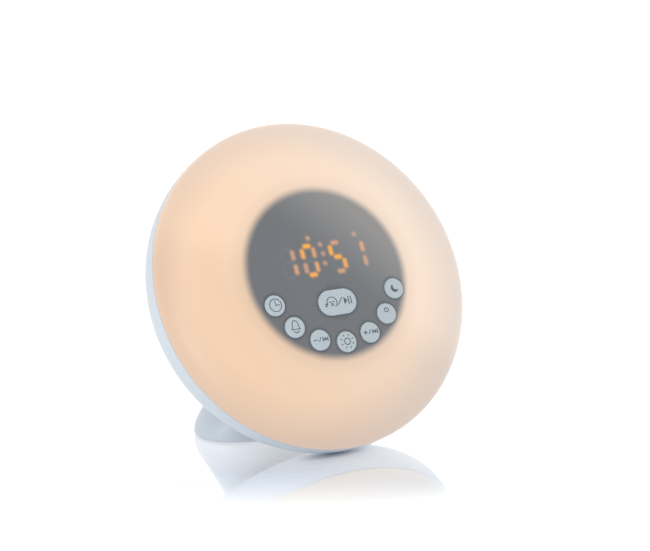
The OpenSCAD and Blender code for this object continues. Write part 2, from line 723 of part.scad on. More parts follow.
base_t = 2;
base_gap = foot_wall + fit;
base_top = base_z + base_t;
pad_x = 42;
rail_x = 26.4;
rail_h = 1.6;
tray_low = base_top + rail_h;
function base_outline() = [for (p = foot_ring(base_z, base_gap)) [p[0], p[1]]];
module pad_shape(grow) for (side = [-1, 1]) translate([side * pad_x, base_mid, 0])
    rotate(90) stadium(17 + 2 * grow, 7 + 2 * grow);

module base_plate() color(ice_white) in_foot() difference() {
    union() {
        translate([0, 0, base_z]) linear_extrude(base_t) polygon(base_outline());
        for (side = [-1, 1]) translate([side * (rail_x + 1) - 1, base_mid - 13, base_top - eps])
            cube([2, 26, rail_h + eps]);
    }
    translate([-door_half - fit, door_front - fit, 0]) cube([2 * (door_half + fit), 60, 4]);
    translate([0, 0, base_z - 1]) linear_extrude(1.6) pad_shape(0.15);
    for (p = base_fix) translate([p[0], p[1], 0]) {
        cylinder(r = 1.7, h = 5);
        translate([0, 0, base_z - 1]) cylinder(r = 3, h = 1.9);
    }
}

module base_screws() in_foot() for (p = base_fix)
    translate([p[0], p[1], base_z + 0.9]) mirror([0, 0, 1]) screw(2.7, 0.8, 1.3, 9);

module foot_pads() color(rubber_black) in_foot() linear_extrude(base_z + 0.6) pad_shape(0);

// ------------------------------------------------------------ batteries

cell_z = 10.2;
cell_y = [for (k = [-1:1]) base_mid + k * cell_pitch];
cell_way = [1, -1, 1];
bay_half = 24.1;             // half length of the battery bay between its contact plates
plate_t = 0.5;
button_len = 1.2;
tray_half = 17.7;
module battery_tray() color(tray_grey) in_foot() intersection() {
    difference() {
        union() {
            translate([-25.5, base_mid - tray_half, tray_low]) cube([51, 2 * tray_half, tray_top - tray_low]);
            for (side = [-1, 1]) translate([side * 27 - 2, base_mid - 6, tray_low]) cube([4, 12, 2]);
        }
        for (y = cell_y) {
            translate([-bay_half, y, cell_z]) rotate([0, 90, 0]) cylinder(r = cell_r + 0.15, h = 2 * bay_half);
            translate([-bay_half, y - cell_r - 0.15, 0]) cube([2 * bay_half, 2 * cell_r + 0.3, cell_z]);
        }
    }
    foot_hollow(fit);
}

module battery_cells() color(cell_blue) in_foot() for (k = [0:2])
    translate([cell_way[k] * (bay_half - plate_t), cell_y[k], cell_z]) rotate([0, -cell_way[k] * 90, 0]) {
        cylinder(r = 1.9, h = button_len + eps);
        translate([0, 0, button_len]) cylinder(r = cell_r, h = cell_len - button_len);
    }

module battery_contacts() color(bright_metal) in_foot() for (k = [0:2]) for (side = [-1, 1])
    translate([side * (bay_half - plate_t / 2), cell_y[k], cell_z - 0.5])
        cube([plate_t, 8, 7], center = true);

// Conical spring behind each cell, one unbroken wire
spring_wire = 0.35;
spring_turns = 2;
module battery_springs() {
    free = 2 * (bay_half - plate_t) - cell_len;
    steps = 8 * spring_turns;
    color(bright_metal) in_foot() for (k = [0:2]) {
        way_x = -cell_way[k];
        start = bay_half - plate_t - spring_wire;
        tube([for (i = [0:steps]) let (a = 360 * i / 8, r = 3.6 - 1.1 * i / steps)
            [way_x * (start - (free - 2 * spring_wire) * i / steps), cell_y[k] + r * cos(a), cell_z + r * sin(a)]],
            spring_wire, 6, [1, 0, 0]);
    }
}

// Sliding door: a plate on two rails, with a lip that completes the foot's back edge
module battery_door() color(ice_white) in_foot() difference() {
    union() {
        intersection() {
            foot_solid();
            translate([-door_half, door_front, 0]) cube([2 * door_half, 60, base_z + door_t]);
        }
        for (side = [-1, 1]) {
            translate([side * (door_half - 1) - 1, door_front + 1, base_z]) cube([2, flange_len, 3.3]);
            translate([side * (door_half - 2 + lip_half) / 2 - flange_w / 2, door_front + 1, base_top + 0.15])
                cube([flange_w, flange_len, 1.15]);
        }
        intersection() {
            difference() {
                foot_solid();
                foot_hollow(0);
            }
            translate([-lip_half, lip_front, 0]) cube([2 * lip_half, 30, lip_top]);
        }
    }
    // finger grooves
    for (k = [-2:2]) translate([k * 3, foot_back + 0.1, base_z + 2.2]) cylinder(r = 0.6, h = 4, $fn = 24);
}

// ------------------------------------------------------------ leads

lead_r = 0.9;
module battery_leads() color(lead_red) in_foot() tube(smooth_path([
    [10, 30, tray_top + 0.2], [10, 30, tray_top + 5], [7, 24, 33],
    head_to_foot([0, -28, -32]), head_to_foot([0, -27, -26]),
    head_to_foot([0, -21.6, -23.6]), head_to_foot([0, -21, -21.8])
], 5), lead_r, 8, [1, 0, 0.2]);

module speaker_leads() color(lead_red) in_head() tube(smooth_path([
    [5.5, 19.2, -20.2], [5.6, 16, -20], [6.6, 13.2, -17.5], [7, 13, -14.5], [7, 8.8, -13.6]
], 5), 0.7, 8, [1, 0, 0]);

module lamp_leads() color(lead_red) in_head() tube(smooth_path([
    [-62, 0, lamp_board_z - 0.2], [-62, 0, -9], [-55, -1, -14], [-43, -2, -14], [-33.3, -3, -13.6]
], 5), lead_r, 8, [0, 1, 0]);

// ------------------------------------------------------------ what is drawn

diffuser_dome();
face_plate();
front_carrier();
key_round(0);  // key_clock
key_round(1);  // key_alarm
key_round(2);  // key_minus
key_round(3);  // key_light
key_round(4);  // key_plus
key_round(5);  // key_mode
key_round(6);  // key_sleep
key_snooze();
plunger(0);  // plunger_clock
plunger(1);  // plunger_alarm
plunger(2);  // plunger_minus
plunger(3);  // plunger_light
plunger(4);  // plunger_plus
plunger(5);  // plunger_mode
plunger(6);  // plunger_sleep
plunger(snooze);  // plunger_snooze
key_switches();
key_board();
key_board_screws();
display_module();
lit_segments();
unlit_segments();
lamp_board();
lamp_leds();
reflector_pan();
main_board();
board_chips();
board_capacitors();
lead_sockets();
main_board_screws();
ribbon_cable();
power_inlet();
speaker_frame();
speaker_cone();
speaker_magnet();
speaker_gasket();
speaker_screws();
speaker_grille();
rear_shell();
rear_screws();
foot_shell();
foot_screws();
base_plate();
base_screws();
foot_pads();
battery_tray();
battery_cells();
battery_contacts();
battery_springs();
battery_door();
battery_leads();
speaker_leads();
lamp_leads();
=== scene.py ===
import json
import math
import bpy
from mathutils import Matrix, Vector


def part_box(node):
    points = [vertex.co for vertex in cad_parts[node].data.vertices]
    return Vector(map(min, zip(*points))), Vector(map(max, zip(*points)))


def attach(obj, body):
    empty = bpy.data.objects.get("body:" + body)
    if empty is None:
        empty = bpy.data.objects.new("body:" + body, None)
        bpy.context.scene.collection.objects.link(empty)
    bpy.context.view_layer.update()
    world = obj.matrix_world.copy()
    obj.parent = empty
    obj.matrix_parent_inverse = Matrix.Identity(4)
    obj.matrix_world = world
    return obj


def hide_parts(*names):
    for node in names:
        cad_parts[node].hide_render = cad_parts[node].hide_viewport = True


bl_info = {
    "name": "Sunrise alarm clock",
    "version": (1, 0, 0),
    "blender": (4, 5, 0),
    "location": "3D View > Sidebar > Clock",
    "description": "Dresses the sunrise alarm clock: opal dome, keys, shells, foot and studio",
    "category": "Object",
}

import bmesh
import bpy
from bpy.props import FloatProperty, FloatVectorProperty, PointerProperty
from mathutils import Matrix, Vector
from mathutils.geometry import delaunay_2d_cdt

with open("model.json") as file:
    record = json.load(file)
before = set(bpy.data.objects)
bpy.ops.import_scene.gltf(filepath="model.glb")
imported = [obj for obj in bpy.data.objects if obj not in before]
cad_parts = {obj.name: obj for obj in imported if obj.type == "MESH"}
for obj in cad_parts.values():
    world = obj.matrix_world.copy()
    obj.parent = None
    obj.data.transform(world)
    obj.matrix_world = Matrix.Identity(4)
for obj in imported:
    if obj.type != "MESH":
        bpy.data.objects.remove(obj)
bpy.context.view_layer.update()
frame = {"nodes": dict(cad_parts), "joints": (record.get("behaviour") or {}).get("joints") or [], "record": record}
MM = 0.001

# ------------------------------------------------------------------ the head's own frame


def middle(node):
    low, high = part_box(node)
    return (low + high) / 2


def width(node):
    low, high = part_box(node)
    return high.x - low.x


# The keys are pressed straight into the face, so their axis tells how the head leans.
PRESS = Vector(next(j["axis"] for j in frame["joints"] if j["name"] == "snooze_press"))
OUT = -PRESS.normalized()
UP = Vector((0, OUT.z, -OUT.y))
FACE_PLATE_MIDDLE = 16.6 * MM      # the face plate's mid-plane, in front of the seam
HEAD_AT = middle("face_plate") - OUT * FACE_PLATE_MIDDLE
HEAD = Matrix.Translation(HEAD_AT) @ Matrix((Vector((1, 0, 0)), UP, OUT)).transposed().to_4x4()
FOOT = Matrix.Translation((0, HEAD_AT.y, 0))
WORLD = Matrix.Identity(4)
TOUCH = (-1 * MM, -35.5 * MM)       # where the lowest point of the rim meets the table
INLET_AT = (33 * MM, 0)             # the power inlet's axis, in the head's frame


# ------------------------------------------------------------------ settings


def tone(red, green, blue):
    """A screen colour, 0 to 255, as the linear colour that a material takes."""
    parts = (red / 255, green / 255, blue / 255)
    return [c / 12.92 if c <= 0.04045 else ((c + 0.055) / 1.055) ** 2.4 for c in parts]


def size(name, mm, description):
    return FloatProperty(name=name, description=description, default=mm * MM, unit="LENGTH", precision=4)


def share(name, value, description):
    return FloatProperty(name=name, description=description, default=value, min=0, soft_max=2)


def turn(name, degrees, description):
    return FloatProperty(name=name, description=description, default=math.radians(degrees), subtype="ANGLE")


def colour(name, rgb, description):
    return FloatVectorProperty(name=name, description=description, default=tone(*rgb), size=3, min=0, max=1,
                               subtype="COLOR")


class HeadSettings(bpy.types.PropertyGroup):
    radius: size("Head radius", width("diffuser_dome") / 2 / MM, "Outer radius of the head at the seam")
    rise: size("Dome rise", 21, "How far the opal dome stands in front of the seam")
    inner_radius: size("Inner radius", 81, "Radius of the hollow of the dome at the seam")
    inner_rise: size("Inner rise", 19, "Height of the hollow of the dome")
    lip_radius: size("Lip radius", 82.5, "Outside of the dome's locating lip")
    lip_depth: size("Lip depth", 3, "How far the lip reaches into the rear shell")
    shell_depth: size("Shell depth", 28, "Depth of the rear shell behind the seam")
    shell_wall: size("Shell wall", 2.2, "Wall of the rear shell")
    flat_radius: size("Flat radius", 58, "Radius of the flat middle of the back")
    boss_circle: size("Screw circle", 49, "Radius of the circle of the rear screws")


class FaceSettings(bpy.types.PropertyGroup):
    panel_radius: size("Panel radius", 43.5, "Radius at which the dark panel shows through the dome")
    panel_blur: size("Panel blur", 2.8, "Half width of the panel's soft edge")
    panel_side: size("Panel shift", -1.1, "How far the panel appears sideways on the dome")
    key_radius: size("Key radius", 5.3, "Radius of a round key")
    key_circle: size("Key circle", 36, "Radius of the arc that the round keys stand on")
    key_step: turn("Key step", 23, "Angle between two round keys")
    key_proud: size("Key height", 1, "How far a round key stands out of the dome")
    snooze_length: size("Snooze length", 21, "Length of the snooze key")
    snooze_width: size("Snooze width", 13, "Width of the snooze key")
    snooze_down: size("Snooze place", 15.8, "How far the snooze key is below the middle")
    snooze_proud: size("Snooze height", 1.2, "How far the snooze key stands out of the dome")
    key_gap: size("Key gap", 0.2, "Air between a key and its hole")
    ink_width: size("Ink width", 0.42, "Width of the lines printed on the keys")
    display_up: size("Display height", 6.97, "How far the digits appear above the middle")
    display_side: size("Display shift", -0.97, "How far the digits appear sideways on the dome")
    digit_height: size("Digit height", 14.8, "From the middle of the top bar to the middle of the bottom bar")
    digit_width: size("Digit width", 6.3, "Between the middles of the upright bars")
    digit_near: size("Inner digits", 7.9, "From the colon to the middle of an inner digit")
    digit_far: size("Outer digits", 19.7, "From the colon to the middle of an outer digit")
    bar_blur: size("Bar blur", 1.22, "How far a bar's light spreads in the frosted dome")
    # painted shade: how far the dark ring painted round each key spreads
    shade_width: size("Key shade", 0.9, "Width of the dark line that shows round each key")


class FootSettings(bpy.types.PropertyGroup):
    half_width: size("Half width", 53, "Half the width of the foot where it is widest")
    front: size("Front", -1.5, "The foot's front, counted back from the middle of the head")
    back: size("Back", 49, "The foot's back, counted back from the middle of the head")
    neck: size("Neck", 20, "Half width that the foot narrows to behind the head")
    wall: size("Wall", 2.6, "Wall of the foot")
    clearance: size("Clearance", 0.6, "Height of the foot's underside above the table")
    edge: size("Bottom edge", 1.2, "Radius of the foot's bottom edge")
    door_half: size("Door half width", 23.7, "Half width of the battery door")
    door_front: size("Door front", 5.8, "The battery door's front edge")
    lip_half: size("Lip half width", 26, "Half width of the door's upright lip")
    lip_top: size("Lip top", 9, "Height of the top of the door's lip")


class FinishSettings(bpy.types.PropertyGroup):
    glow: share("Glow", 0.705, "Share of the dome's brightness that comes from its own light")
    warm: colour("Warm light", (245, 209, 176), "The lamp's light in the dome, on the left")
    pale: colour("Pale light", (242, 221, 203), "The lamp's light in the dome, on the right")
    warm_rim: colour("Warm rim", (212, 186, 168), "The dome near its rim, on the left")
    pale_rim: colour("Pale rim", (218, 204, 194), "The dome near its rim, on the right")
    panel: colour("Dark panel", (107, 110, 114), "The dark face plate as seen through the dome")
    light_panel: colour("Lighter panel", (141, 140, 139), "The face plate where the lamp's light reaches it")
    digit: colour("Bright bar", (255, 176, 60), "A display bar at full light")
    pale_digit: colour("Pale bar", (216, 168, 148), "A display bar at low light")
    ghost: colour("Unlit bar", (112, 128, 140), "A display bar that is off")
    # painted shade: colour of the dark ring painted on the dome round each key
    key_shade: colour("Key shade", (74, 79, 84), "The dark gap that shows round each key")
    key: colour("Keys", (167, 178, 185), "Moulded key caps")
    ink: colour("Key print", (76, 84, 92), "Ink of the symbols on the keys")
    shell: colour("Shell", (185, 193, 201), "Rear shell, grille and foot")


class StudioSettings(bpy.types.PropertyGroup):
    camera_turn: turn("Camera turn", 29.147, "How far the camera stands round to the clock's left")
    camera_climb: turn("Camera climb", 14.883, "How far the camera stands above the middle of the head")
    camera_far: size("Camera distance", 1081, "From the camera to the middle of the head")
    lens: FloatProperty(name="Lens", description="Focal length", default=119.43, unit="CAMERA")
    shift_across: FloatProperty(name="Shift across", description="Sideways picture shift", default=0.02103)
    shift_up: FloatProperty(name="Shift up", description="Upward picture shift", default=0.0130)
    mirror_near: size("Mirror starts to fade", 48, "Distance in front of the clock where the mirror fades")
    mirror_far: size("Mirror ends", 146, "Distance in front of the clock where the mirror is gone")
    mirror: share("Mirror", 0.62, "How much the floor reflects under the clock")
    floor_glow: share("Floor glow", 0.8, "Light that the table gives by itself, as a lit white sweep does")
    room_back: share("Room behind", 1.15, "Brightness of the white room behind and beside the clock")
    room_front: share("Room in front", 0.62, "Brightness of the darker side that the camera stands on")


class ClockSettings(bpy.types.PropertyGroup):
    head: PointerProperty(type=HeadSettings)
    face: PointerProperty(type=FaceSettings)
    foot: PointerProperty(type=FootSettings)
    finish: PointerProperty(type=FinishSettings)
    studio: PointerProperty(type=StudioSettings)


def settings():
    return bpy.context.scene.clock


# ------------------------------------------------------------------ solids


def placed(name, data):
    """A new object in the scene that holds that mesh, light or camera."""
    thing = bpy.data.objects.new(name, data)
    bpy.context.scene.collection.objects.link(thing)
    return thing


def soften(mesh, sharp):
    """Smooth shading but for edges sharper than that many degrees."""
    mesh.shade_smooth()
    mesh.set_sharp_from_angle(angle=math.radians(sharp))


def made_mesh(name, build, sharp):
    """The built surface as a mesh with its faces turned outward."""
    bmesh.ops.recalc_face_normals(build, faces=build.faces)
    mesh = bpy.data.meshes.new(name)
    build.to_mesh(mesh)
    build.free()
    soften(mesh, sharp)
    return mesh


def solid(name, parts, sharp=35):
    """One closed mesh from lists of points and faces, shaded smooth but for edges sharper than that."""
    build = bmesh.new()
    for points, faces in parts:
        corners = [build.verts.new(p) for p in points]
        for face in faces:
            build.faces.new([corners[i] for i in face])
    bmesh.ops.remove_doubles(build, verts=build.verts, dist=1e-7)
    return made_mesh(name, build, sharp)


def turned(outline, steps, half=0.0, closed=False, at=(0, 0)):
    """A solid turned from (radius, height) pairs; half draws it out sideways into a stadium."""
    if half:
        arc = [math.pi * (k / (steps // 2) - 0.5) for k in range(steps // 2 + 1)]
        ring = [(half, a) for a in arc] + [(-half, a + math.pi) for a in arc]
    else:
        ring = [(0, math.tau * k / steps) for k in range(steps)]
    n, rows = len(ring), len(outline)
    points = [(at[0] + s + r * math.cos(a), at[1] + r * math.sin(a), z) for r, z in outline for s, a in ring]
    faces = [
        (i * n + k, i * n + (k + 1) % n, (i + 1) % rows * n + (k + 1) % n, (i + 1) % rows * n + k)
        for i in range(rows if closed else rows - 1)
        for k in range(n)
    ]
    return points, faces


def pin(radius, low, high, at=(0, 0), steps=48):
    """A plain round bar, to cut with or to stand as a boss."""
    return turned([(0, low), (radius, low), (radius, high), (0, high)], steps, at=at)


def block(low, high):
    """A square block between two corners, to cut with or to build from."""
    corners = [(x, y, z) for z in (low[2], high[2]) for y in (low[1], high[1]) for x in (low[0], high[0])]
    return corners, [(0, 1, 3, 2), (4, 6, 7, 5), (0, 4, 5, 1), (2, 3, 7, 6), (0, 2, 6, 4), (1, 5, 7, 3)]


def lofted(rings):
    """A solid drawn through rings that have the same number of points."""
    n, last = len(rings[0]), (len(rings) - 1) * len(rings[0])
    faces = [
        (j * n + i, j * n + (i + 1) % n, (j + 1) * n + (i + 1) % n, (j + 1) * n + i)
        for j in range(len(rings) - 1)
        for i in range(n)
    ]
    caps = [tuple(range(n)), tuple(last + i for i in range(n))]
    return [p for ring in rings for p in ring], faces + caps


def joined(mesh, tool, operation):
    """The mesh with the tool cut out of it, kept within it or added to it."""
    work = [placed("work", m) for m in (mesh, tool)]
    step = work[0].modifiers.new("join", "BOOLEAN")
    step.object, step.operation, step.solver = work[1], operation, "EXACT"
    result = bpy.data.meshes.new_from_object(work[0].evaluated_get(bpy.context.evaluated_depsgraph_get()))
    for item in work:
        bpy.data.objects.remove(item)
    return result


def piece(name, mesh, place, material, body, slot, *nodes):
    """Puts a finished mesh in its place, on its body, as what stands for those nodes."""
    mesh.transform(place)
    mesh.materials.clear()
    mesh.materials.append(material)
    thing = placed(name, mesh)
    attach(thing, body)
    if nodes:
        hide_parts(*nodes)
    return thing


# ------------------------------------------------------------------ finishes


class Finish:
    """One procedural material: a shader, and the nodes that feed it."""

    def __init__(self, name, **constants):
        self.material = bpy.data.materials.new(name)
        self.material.use_nodes = True
        self.nodes = self.material.node_tree.nodes
        self.links = self.material.node_tree.links
        self.nodes.clear()
        self.shader = self.nodes.new("ShaderNodeBsdfPrincipled")
        output = self.nodes.new("ShaderNodeOutputMaterial")
        self.links.new(self.shader.outputs[0], output.inputs[0])
        self.place = self.nodes.new("ShaderNodeTexCoord").outputs["Object"]
        for key, value in constants.items():
            self.shader.inputs[key.replace("_", " ").title().replace("Ior", "IOR")].default_value = value

    def add(self, kind, feeds, **choices):
        node = self.nodes.new(kind)
        for key, value in choices.items():
            setattr(node, key, value)
        for key, value in feeds.items():
            self.feed(node.inputs[key], value)
        return node

    def feed(self, socket, value):
        if isinstance(value, bpy.types.NodeSocket):
            self.links.new(value, socket)
        else:
            socket.default_value = value

    def maths(self, operation, *values):
        return self.add("ShaderNodeMath", dict(enumerate(values)), operation=operation).outputs[0]

    def noise(self, scale, detail=2.0, roughness=0.5, place=None):
        feeds = {"Vector": place or self.place, "Scale": scale, "Detail": detail, "Roughness": roughness}
        return self.add("ShaderNodeTexNoise", feeds).outputs["Fac"]

    def ramp(self, value, low, high, out_low=0.0, out_high=1.0, smooth=True):
        feeds = {"Value": value, "From Min": low, "From Max": high, "To Min": out_low, "To Max": out_high}
        kind = "SMOOTHSTEP" if smooth else "LINEAR"
        return self.add("ShaderNodeMapRange", feeds, interpolation_type=kind).outputs[0]

    def mix(self, factor, first, second, blend="MIX"):
        node = self.nodes.new("ShaderNodeMix")
        node.data_type, node.blend_type = "RGBA", blend
        self.feed(node.inputs["Factor"], factor)
        for socket, value in zip([s for s in node.inputs if s.type == "RGBA"], (first, second)):
            self.feed(socket, value if isinstance(value, bpy.types.NodeSocket) else (*value, 1))
        return next(s for s in node.outputs if s.type == "RGBA")

    def axes(self, frame_of=WORLD):
        """The three coordinates, in the row frame or in another one."""
        feeds = {"Vector": self.place, "Location": frame_of.translation, "Rotation": frame_of.to_euler()}
        moved = self.add("ShaderNodeMapping", feeds, vector_type="TEXTURE")
        split = self.add("ShaderNodeSeparateXYZ", {0: moved.outputs[0]})
        return split.outputs[0], split.outputs[1], split.outputs[2]

    def from_axis(self, x, y, at=(0, 0)):
        """Distance from an axis along z that stands at that place."""
        across = self.maths("POWER", self.maths("SUBTRACT", x, at[0]), 2)
        along = self.maths("POWER", self.maths("SUBTRACT", y, at[1]), 2)
        return self.maths("SQRT", self.maths("ADD", across, along))

    def slope(self, x, y, by_x, by_y):
        """A value that rises over the surface by that much along x and that much along y."""
        return self.maths("ADD", self.maths("MULTIPLY", x, by_x), self.maths("MULTIPLY", y, by_y))

    def colour(self, value):
        self.feed(self.shader.inputs["Base Color"], value)

    def roughness(self, value):
        self.feed(self.shader.inputs["Roughness"], value)

    def bump(self, height, depth):
        """Relief whose height runs from 0 to that depth in metres."""
        node = self.add("ShaderNodeBump", {"Height": height, "Distance": depth, "Strength": 1.0})
        self.links.new(node.outputs[0], self.shader.inputs["Normal"])


def shifted(rgb, by):
    """That colour a little lighter or darker."""
    return [min(max(c * (1 + by), 0), 1) for c in rgb]


def moulded(name, rgb, rough=0.42, grain=0.008, fineness=1900, spread=0.02):
    """Moulded plastic: a fine spark-eroded grain and a slight unevenness of colour and sheen."""
    made = Finish(name, specular_ior_level=0.45)
    cloud = made.noise(45, 3)
    made.colour(made.mix(cloud, shifted(rgb, -spread), shifted(rgb, spread)))
    made.roughness(made.ramp(made.noise(1100, 3), 0.3, 0.7, rough - 0.04, rough + 0.04))
    made.bump(made.noise(fineness, 2, 0.6), grain * MM)
    return made.material


def metal(name, rgb, rough=0.3):
    """Bright sheet or screw metal with fine drawn scratches and duller patches."""
    made = Finish(name, metallic=1.0)
    stretched = made.add("ShaderNodeMapping", {"Vector": made.place, "Scale": (0.15, 1, 1)}).outputs[0]
    scratches = made.noise(900, 6, 0.65, stretched)
    made.colour(made.mix(made.noise(70, 3), shifted(rgb, -0.12), rgb))
    made.roughness(made.ramp(scratches, 0.35, 0.65, rough - 0.08, rough + 0.12))
    made.bump(scratches, 0.01 * MM)
    return made.material


def rubber(name, rgb):
    """Dull rubber, foam or paper with a coarse grain."""
    made = Finish(name, specular_ior_level=0.25)
    made.colour(made.mix(made.noise(300, 4), rgb, shifted(rgb, 0.6)))
    made.roughness(made.ramp(made.noise(500, 3), 0.3, 0.7, 0.75, 0.95))
    made.bump(made.noise(1400, 3), 0.03 * MM)
    return made.material


def circuit(name, rgb):
    """Solder mask over copper: raised tracks, small bare pads and a satin sheen."""
    made = Finish(name, specular_ior_level=0.55)
    lines = {"Vector": made.place, "Scale": 160, "Mortar Size": 0.06, "Brick Width": 0.9, "Row Height": 0.22}
    tracks = made.add("ShaderNodeTexBrick", lines, offset=0.37, squash=0.6, squash_frequency=3).outputs["Fac"]
    dots = made.add("ShaderNodeTexVoronoi", {"Vector": made.place, "Scale": 260, "Randomness": 0.35})
    pads = made.ramp(dots.outputs["Distance"], 0.16, 0.2, 1, 0)
    masked = made.mix(tracks, shifted(rgb, 0.35), rgb)
    made.colour(made.mix(pads, masked, tone(196, 178, 120)))
    made.roughness(made.ramp(pads, 0, 1, 0.38, 0.25))
    made.bump(tracks, 0.03 * MM)
    return made.material


def lamp_chip(name, rgb):
    """Yellow phosphor of the lamp's light sources, slightly grainy."""
    made = Finish(name, emission_strength=0.6)
    grains = made.mix(made.noise(2500, 3), shifted(rgb, -0.15), rgb)
    made.colour(grains)
    made.feed(made.shader.inputs["Emission Color"], grains)
    made.roughness(0.5)
    return made.material


def inlet_plastic(name):
    """Black socket body with a bright pin on its own axis."""
    made = Finish(name, specular_ior_level=0.5)
    x, y, _ = made.axes(HEAD)
    pin_mask = made.maths("LESS_THAN", made.from_axis(x, y, INLET_AT), 1.05 * MM)
    body = made.mix(made.noise(800, 3), tone(22, 22, 24), tone(34, 34, 37))
    made.colour(made.mix(pin_mask, body, tone(205, 203, 196)))
    made.roughness(made.ramp(made.noise(400, 3), 0.3, 0.7, 0.3, 0.5))
    made.feed(made.shader.inputs["Metallic"], pin_mask)
    made.bump(made.noise(2600), 0.01 * MM)
    return made.material


def lamp_light(made, x, y):
    """The lamp's light in the dome: warm on the left, paler on the right, dying away towards the rim."""
    tint = settings().finish
    cloud = made.maths("MULTIPLY", made.maths("SUBTRACT", made.noise(20, 2), 0.5), 16 * MM)
    across = made.maths("ADD", made.slope(x, y, 0.96, 0.28), cloud)
    side = made.ramp(across, -70 * MM, 62 * MM, smooth=False)
    light = made.mix(side, tint.warm, tint.pale)
    # it dies away sooner on the side that turns away
    rim = made.ramp(made.from_axis(x, y, (-9 * MM, 0)), 62 * MM, 90 * MM, smooth=False)
    light = made.mix(rim, light, made.mix(side, tint.warm_rim, tint.pale_rim))
    # and it is a little weaker at the lower left
    weaker = made.ramp(made.slope(x, y, 0.5, 0.87), -26 * MM, 2 * MM, 0.91, 1)
    return made.mix(weaker, (0, 0, 0), light)


def over_face_plate(made, x, y, light):
    """That light with the face plate showing through as a dark disc with a soft edge."""
    face, tint = settings().face, settings().finish
    reach = made.from_axis(x, y, (face.panel_side, 0))
    leak = made.ramp(made.slope(x, y, 0.75, 0.66), 0, 42 * MM)
    panel = made.mix(leak, tint.panel, tint.light_panel)
    soft_edge = made.ramp(reach, face.panel_radius - face.panel_blur, face.panel_radius + face.panel_blur)
    # it shades the light a little beyond its edge
    beyond = made.ramp(reach, face.panel_radius, face.panel_radius + 10 * MM, 0.88, 1)
    return made.mix(made.maths("MULTIPLY", soft_edge, beyond), panel, light)


def opal_finish():
    """Frosted opal plastic lit from behind, with the dark panel and the digits showing softly through it and
    painted shade round the keys.
    """
    glow, dark = settings().finish.glow, (0, 0, 0)
    made = Finish("frosted_opal", emission_strength=1.0, specular_ior_level=0.35)
    x, y, _ = made.axes(HEAD)
    seen = over_face_plate(made, x, y, lamp_light(made, x, y))
    # the display's light and the painted shade round the keys, written into the mesh
    display = made.add("ShaderNodeAttribute", {}, attribute_name="display_light_and_key_shade")
    seen = made.mix(display.outputs["Alpha"], seen, dark)
    # what the dome shows, the lamp's light included, is painted: part into the base colour, the rest into the glow
    made.colour(made.mix(glow, seen, dark))
    lit = made.mix(1.0, made.mix(glow, dark, seen), display.outputs["Color"], blend="ADD")
    made.feed(made.shader.inputs["Emission Color"], lit)
    made.roughness(made.ramp(made.noise(900, 3), 0.3, 0.7, 0.34, 0.42))
    made.bump(made.noise(1800, 2), 0.006 * MM)
    return made.material


def node_finishes():
    """The finish of each of the record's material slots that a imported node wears."""
    shell = settings().finish.shell
    return {
        "dark_face": moulded("dark_face_sheet", tone(40, 42, 46), rough=0.5),
        "inner_moulding": moulded("inner_moulding", tone(214, 218, 224), rough=0.5, grain=0.02),
        "switch_plunger": moulded("switch_plunger", tone(28, 28, 30), rough=0.4),
        "sheet_metal": metal("tinned_sheet", tone(196, 196, 192)),
        "circuit_board": circuit("green_board", tone(24, 92, 56)),
        "screw_steel": metal("screw_steel", tone(204, 204, 206), rough=0.25),
        "display_black": moulded("display_case", tone(20, 20, 22), rough=0.3),
        "lit_segment": lamp_chip("lit_segment", tone(255, 160, 60)),
        "unlit_segment": moulded("unlit_segment", tone(150, 154, 160), rough=0.25),
        "lamp_board_white": circuit("white_board", tone(236, 236, 232)),
        "led_phosphor": lamp_chip("lamp_phosphor", tone(246, 220, 110)),
        "reflector_white": moulded("reflector_white", tone(240, 240, 238), rough=0.25),
        "chip_black": inlet_plastic("chip_black"),
        "capacitor_sleeve": moulded("capacitor_sleeve", tone(52, 60, 86), rough=0.3),
        "socket_cream": moulded("socket_cream", tone(236, 230, 212), rough=0.45),
        "ribbon_grey": moulded("ribbon_grey", tone(186, 190, 196), rough=0.5),
        "cone_paper": rubber("cone_paper", tone(46, 46, 50)),
        "foam_black": rubber("gasket_foam", tone(30, 30, 32)),
        "shell_white": moulded("moulded_shell", shell),
        "base_white": moulded("base_plate", shifted(shell, -0.03), rough=0.5, grain=0.02),
        "pad_rubber": rubber("pad_rubber", tone(36, 36, 38)),
        "cell_sleeve": moulded("cell_sleeve", tone(54, 84, 128), rough=0.28),
        "contact_nickel": metal("contact_nickel", tone(206, 202, 190), rough=0.22),
        "lead_insulation": moulded("lead_insulation", tone(158, 30, 26), rough=0.45),
    }


# ------------------------------------------------------------------ opal dome


BULGE = 2.1     # the dome's section is (r / rim) to the power 3 + (height / rise) to this power = 1


def dome_height(r, rim, rise):
    """Height of a dome over its rim at distance r from its middle."""
    return rise * (1 - min(r / rim, 1) ** 3) ** (1 / BULGE)


def dome_normal(x, y, rim, rise):
    """Outward direction of the dome's surface, which is square to the axis at its rim."""
    r = math.hypot(x, y)
    under = 1 - (r / rim) ** 3
    if under < 1e-6:
        return Vector((x, y, 0)).normalized()
    slope = rise / BULGE * under ** (1 / BULGE - 1) * 3 * r * r / rim**3
    return Vector((x / max(r, 1e-9) * slope, y / max(r, 1e-9) * slope, 1)).normalized()


def key_names():
    return ["clock", "alarm", "minus", "light", "plus", "mode", "sleep"]


def key_place(i):
    face = settings().face
    angle = -math.pi / 2 + (i - 3) * face.key_step
    return face.key_circle * math.cos(angle), face.key_circle * math.sin(angle)


def stadium_outline(length, across, at, steps):
    """Points round a stadium, or round a circle where it is as long as it is wide."""
    r, half = across / 2, (length - across) / 2
    points = []
    for k in range(steps):
        a = math.tau * (k + 0.5) / steps
        points.append((at[0] + math.copysign(half, math.cos(a)) + r * math.cos(a), at[1] + r * math.sin(a)))
    return points


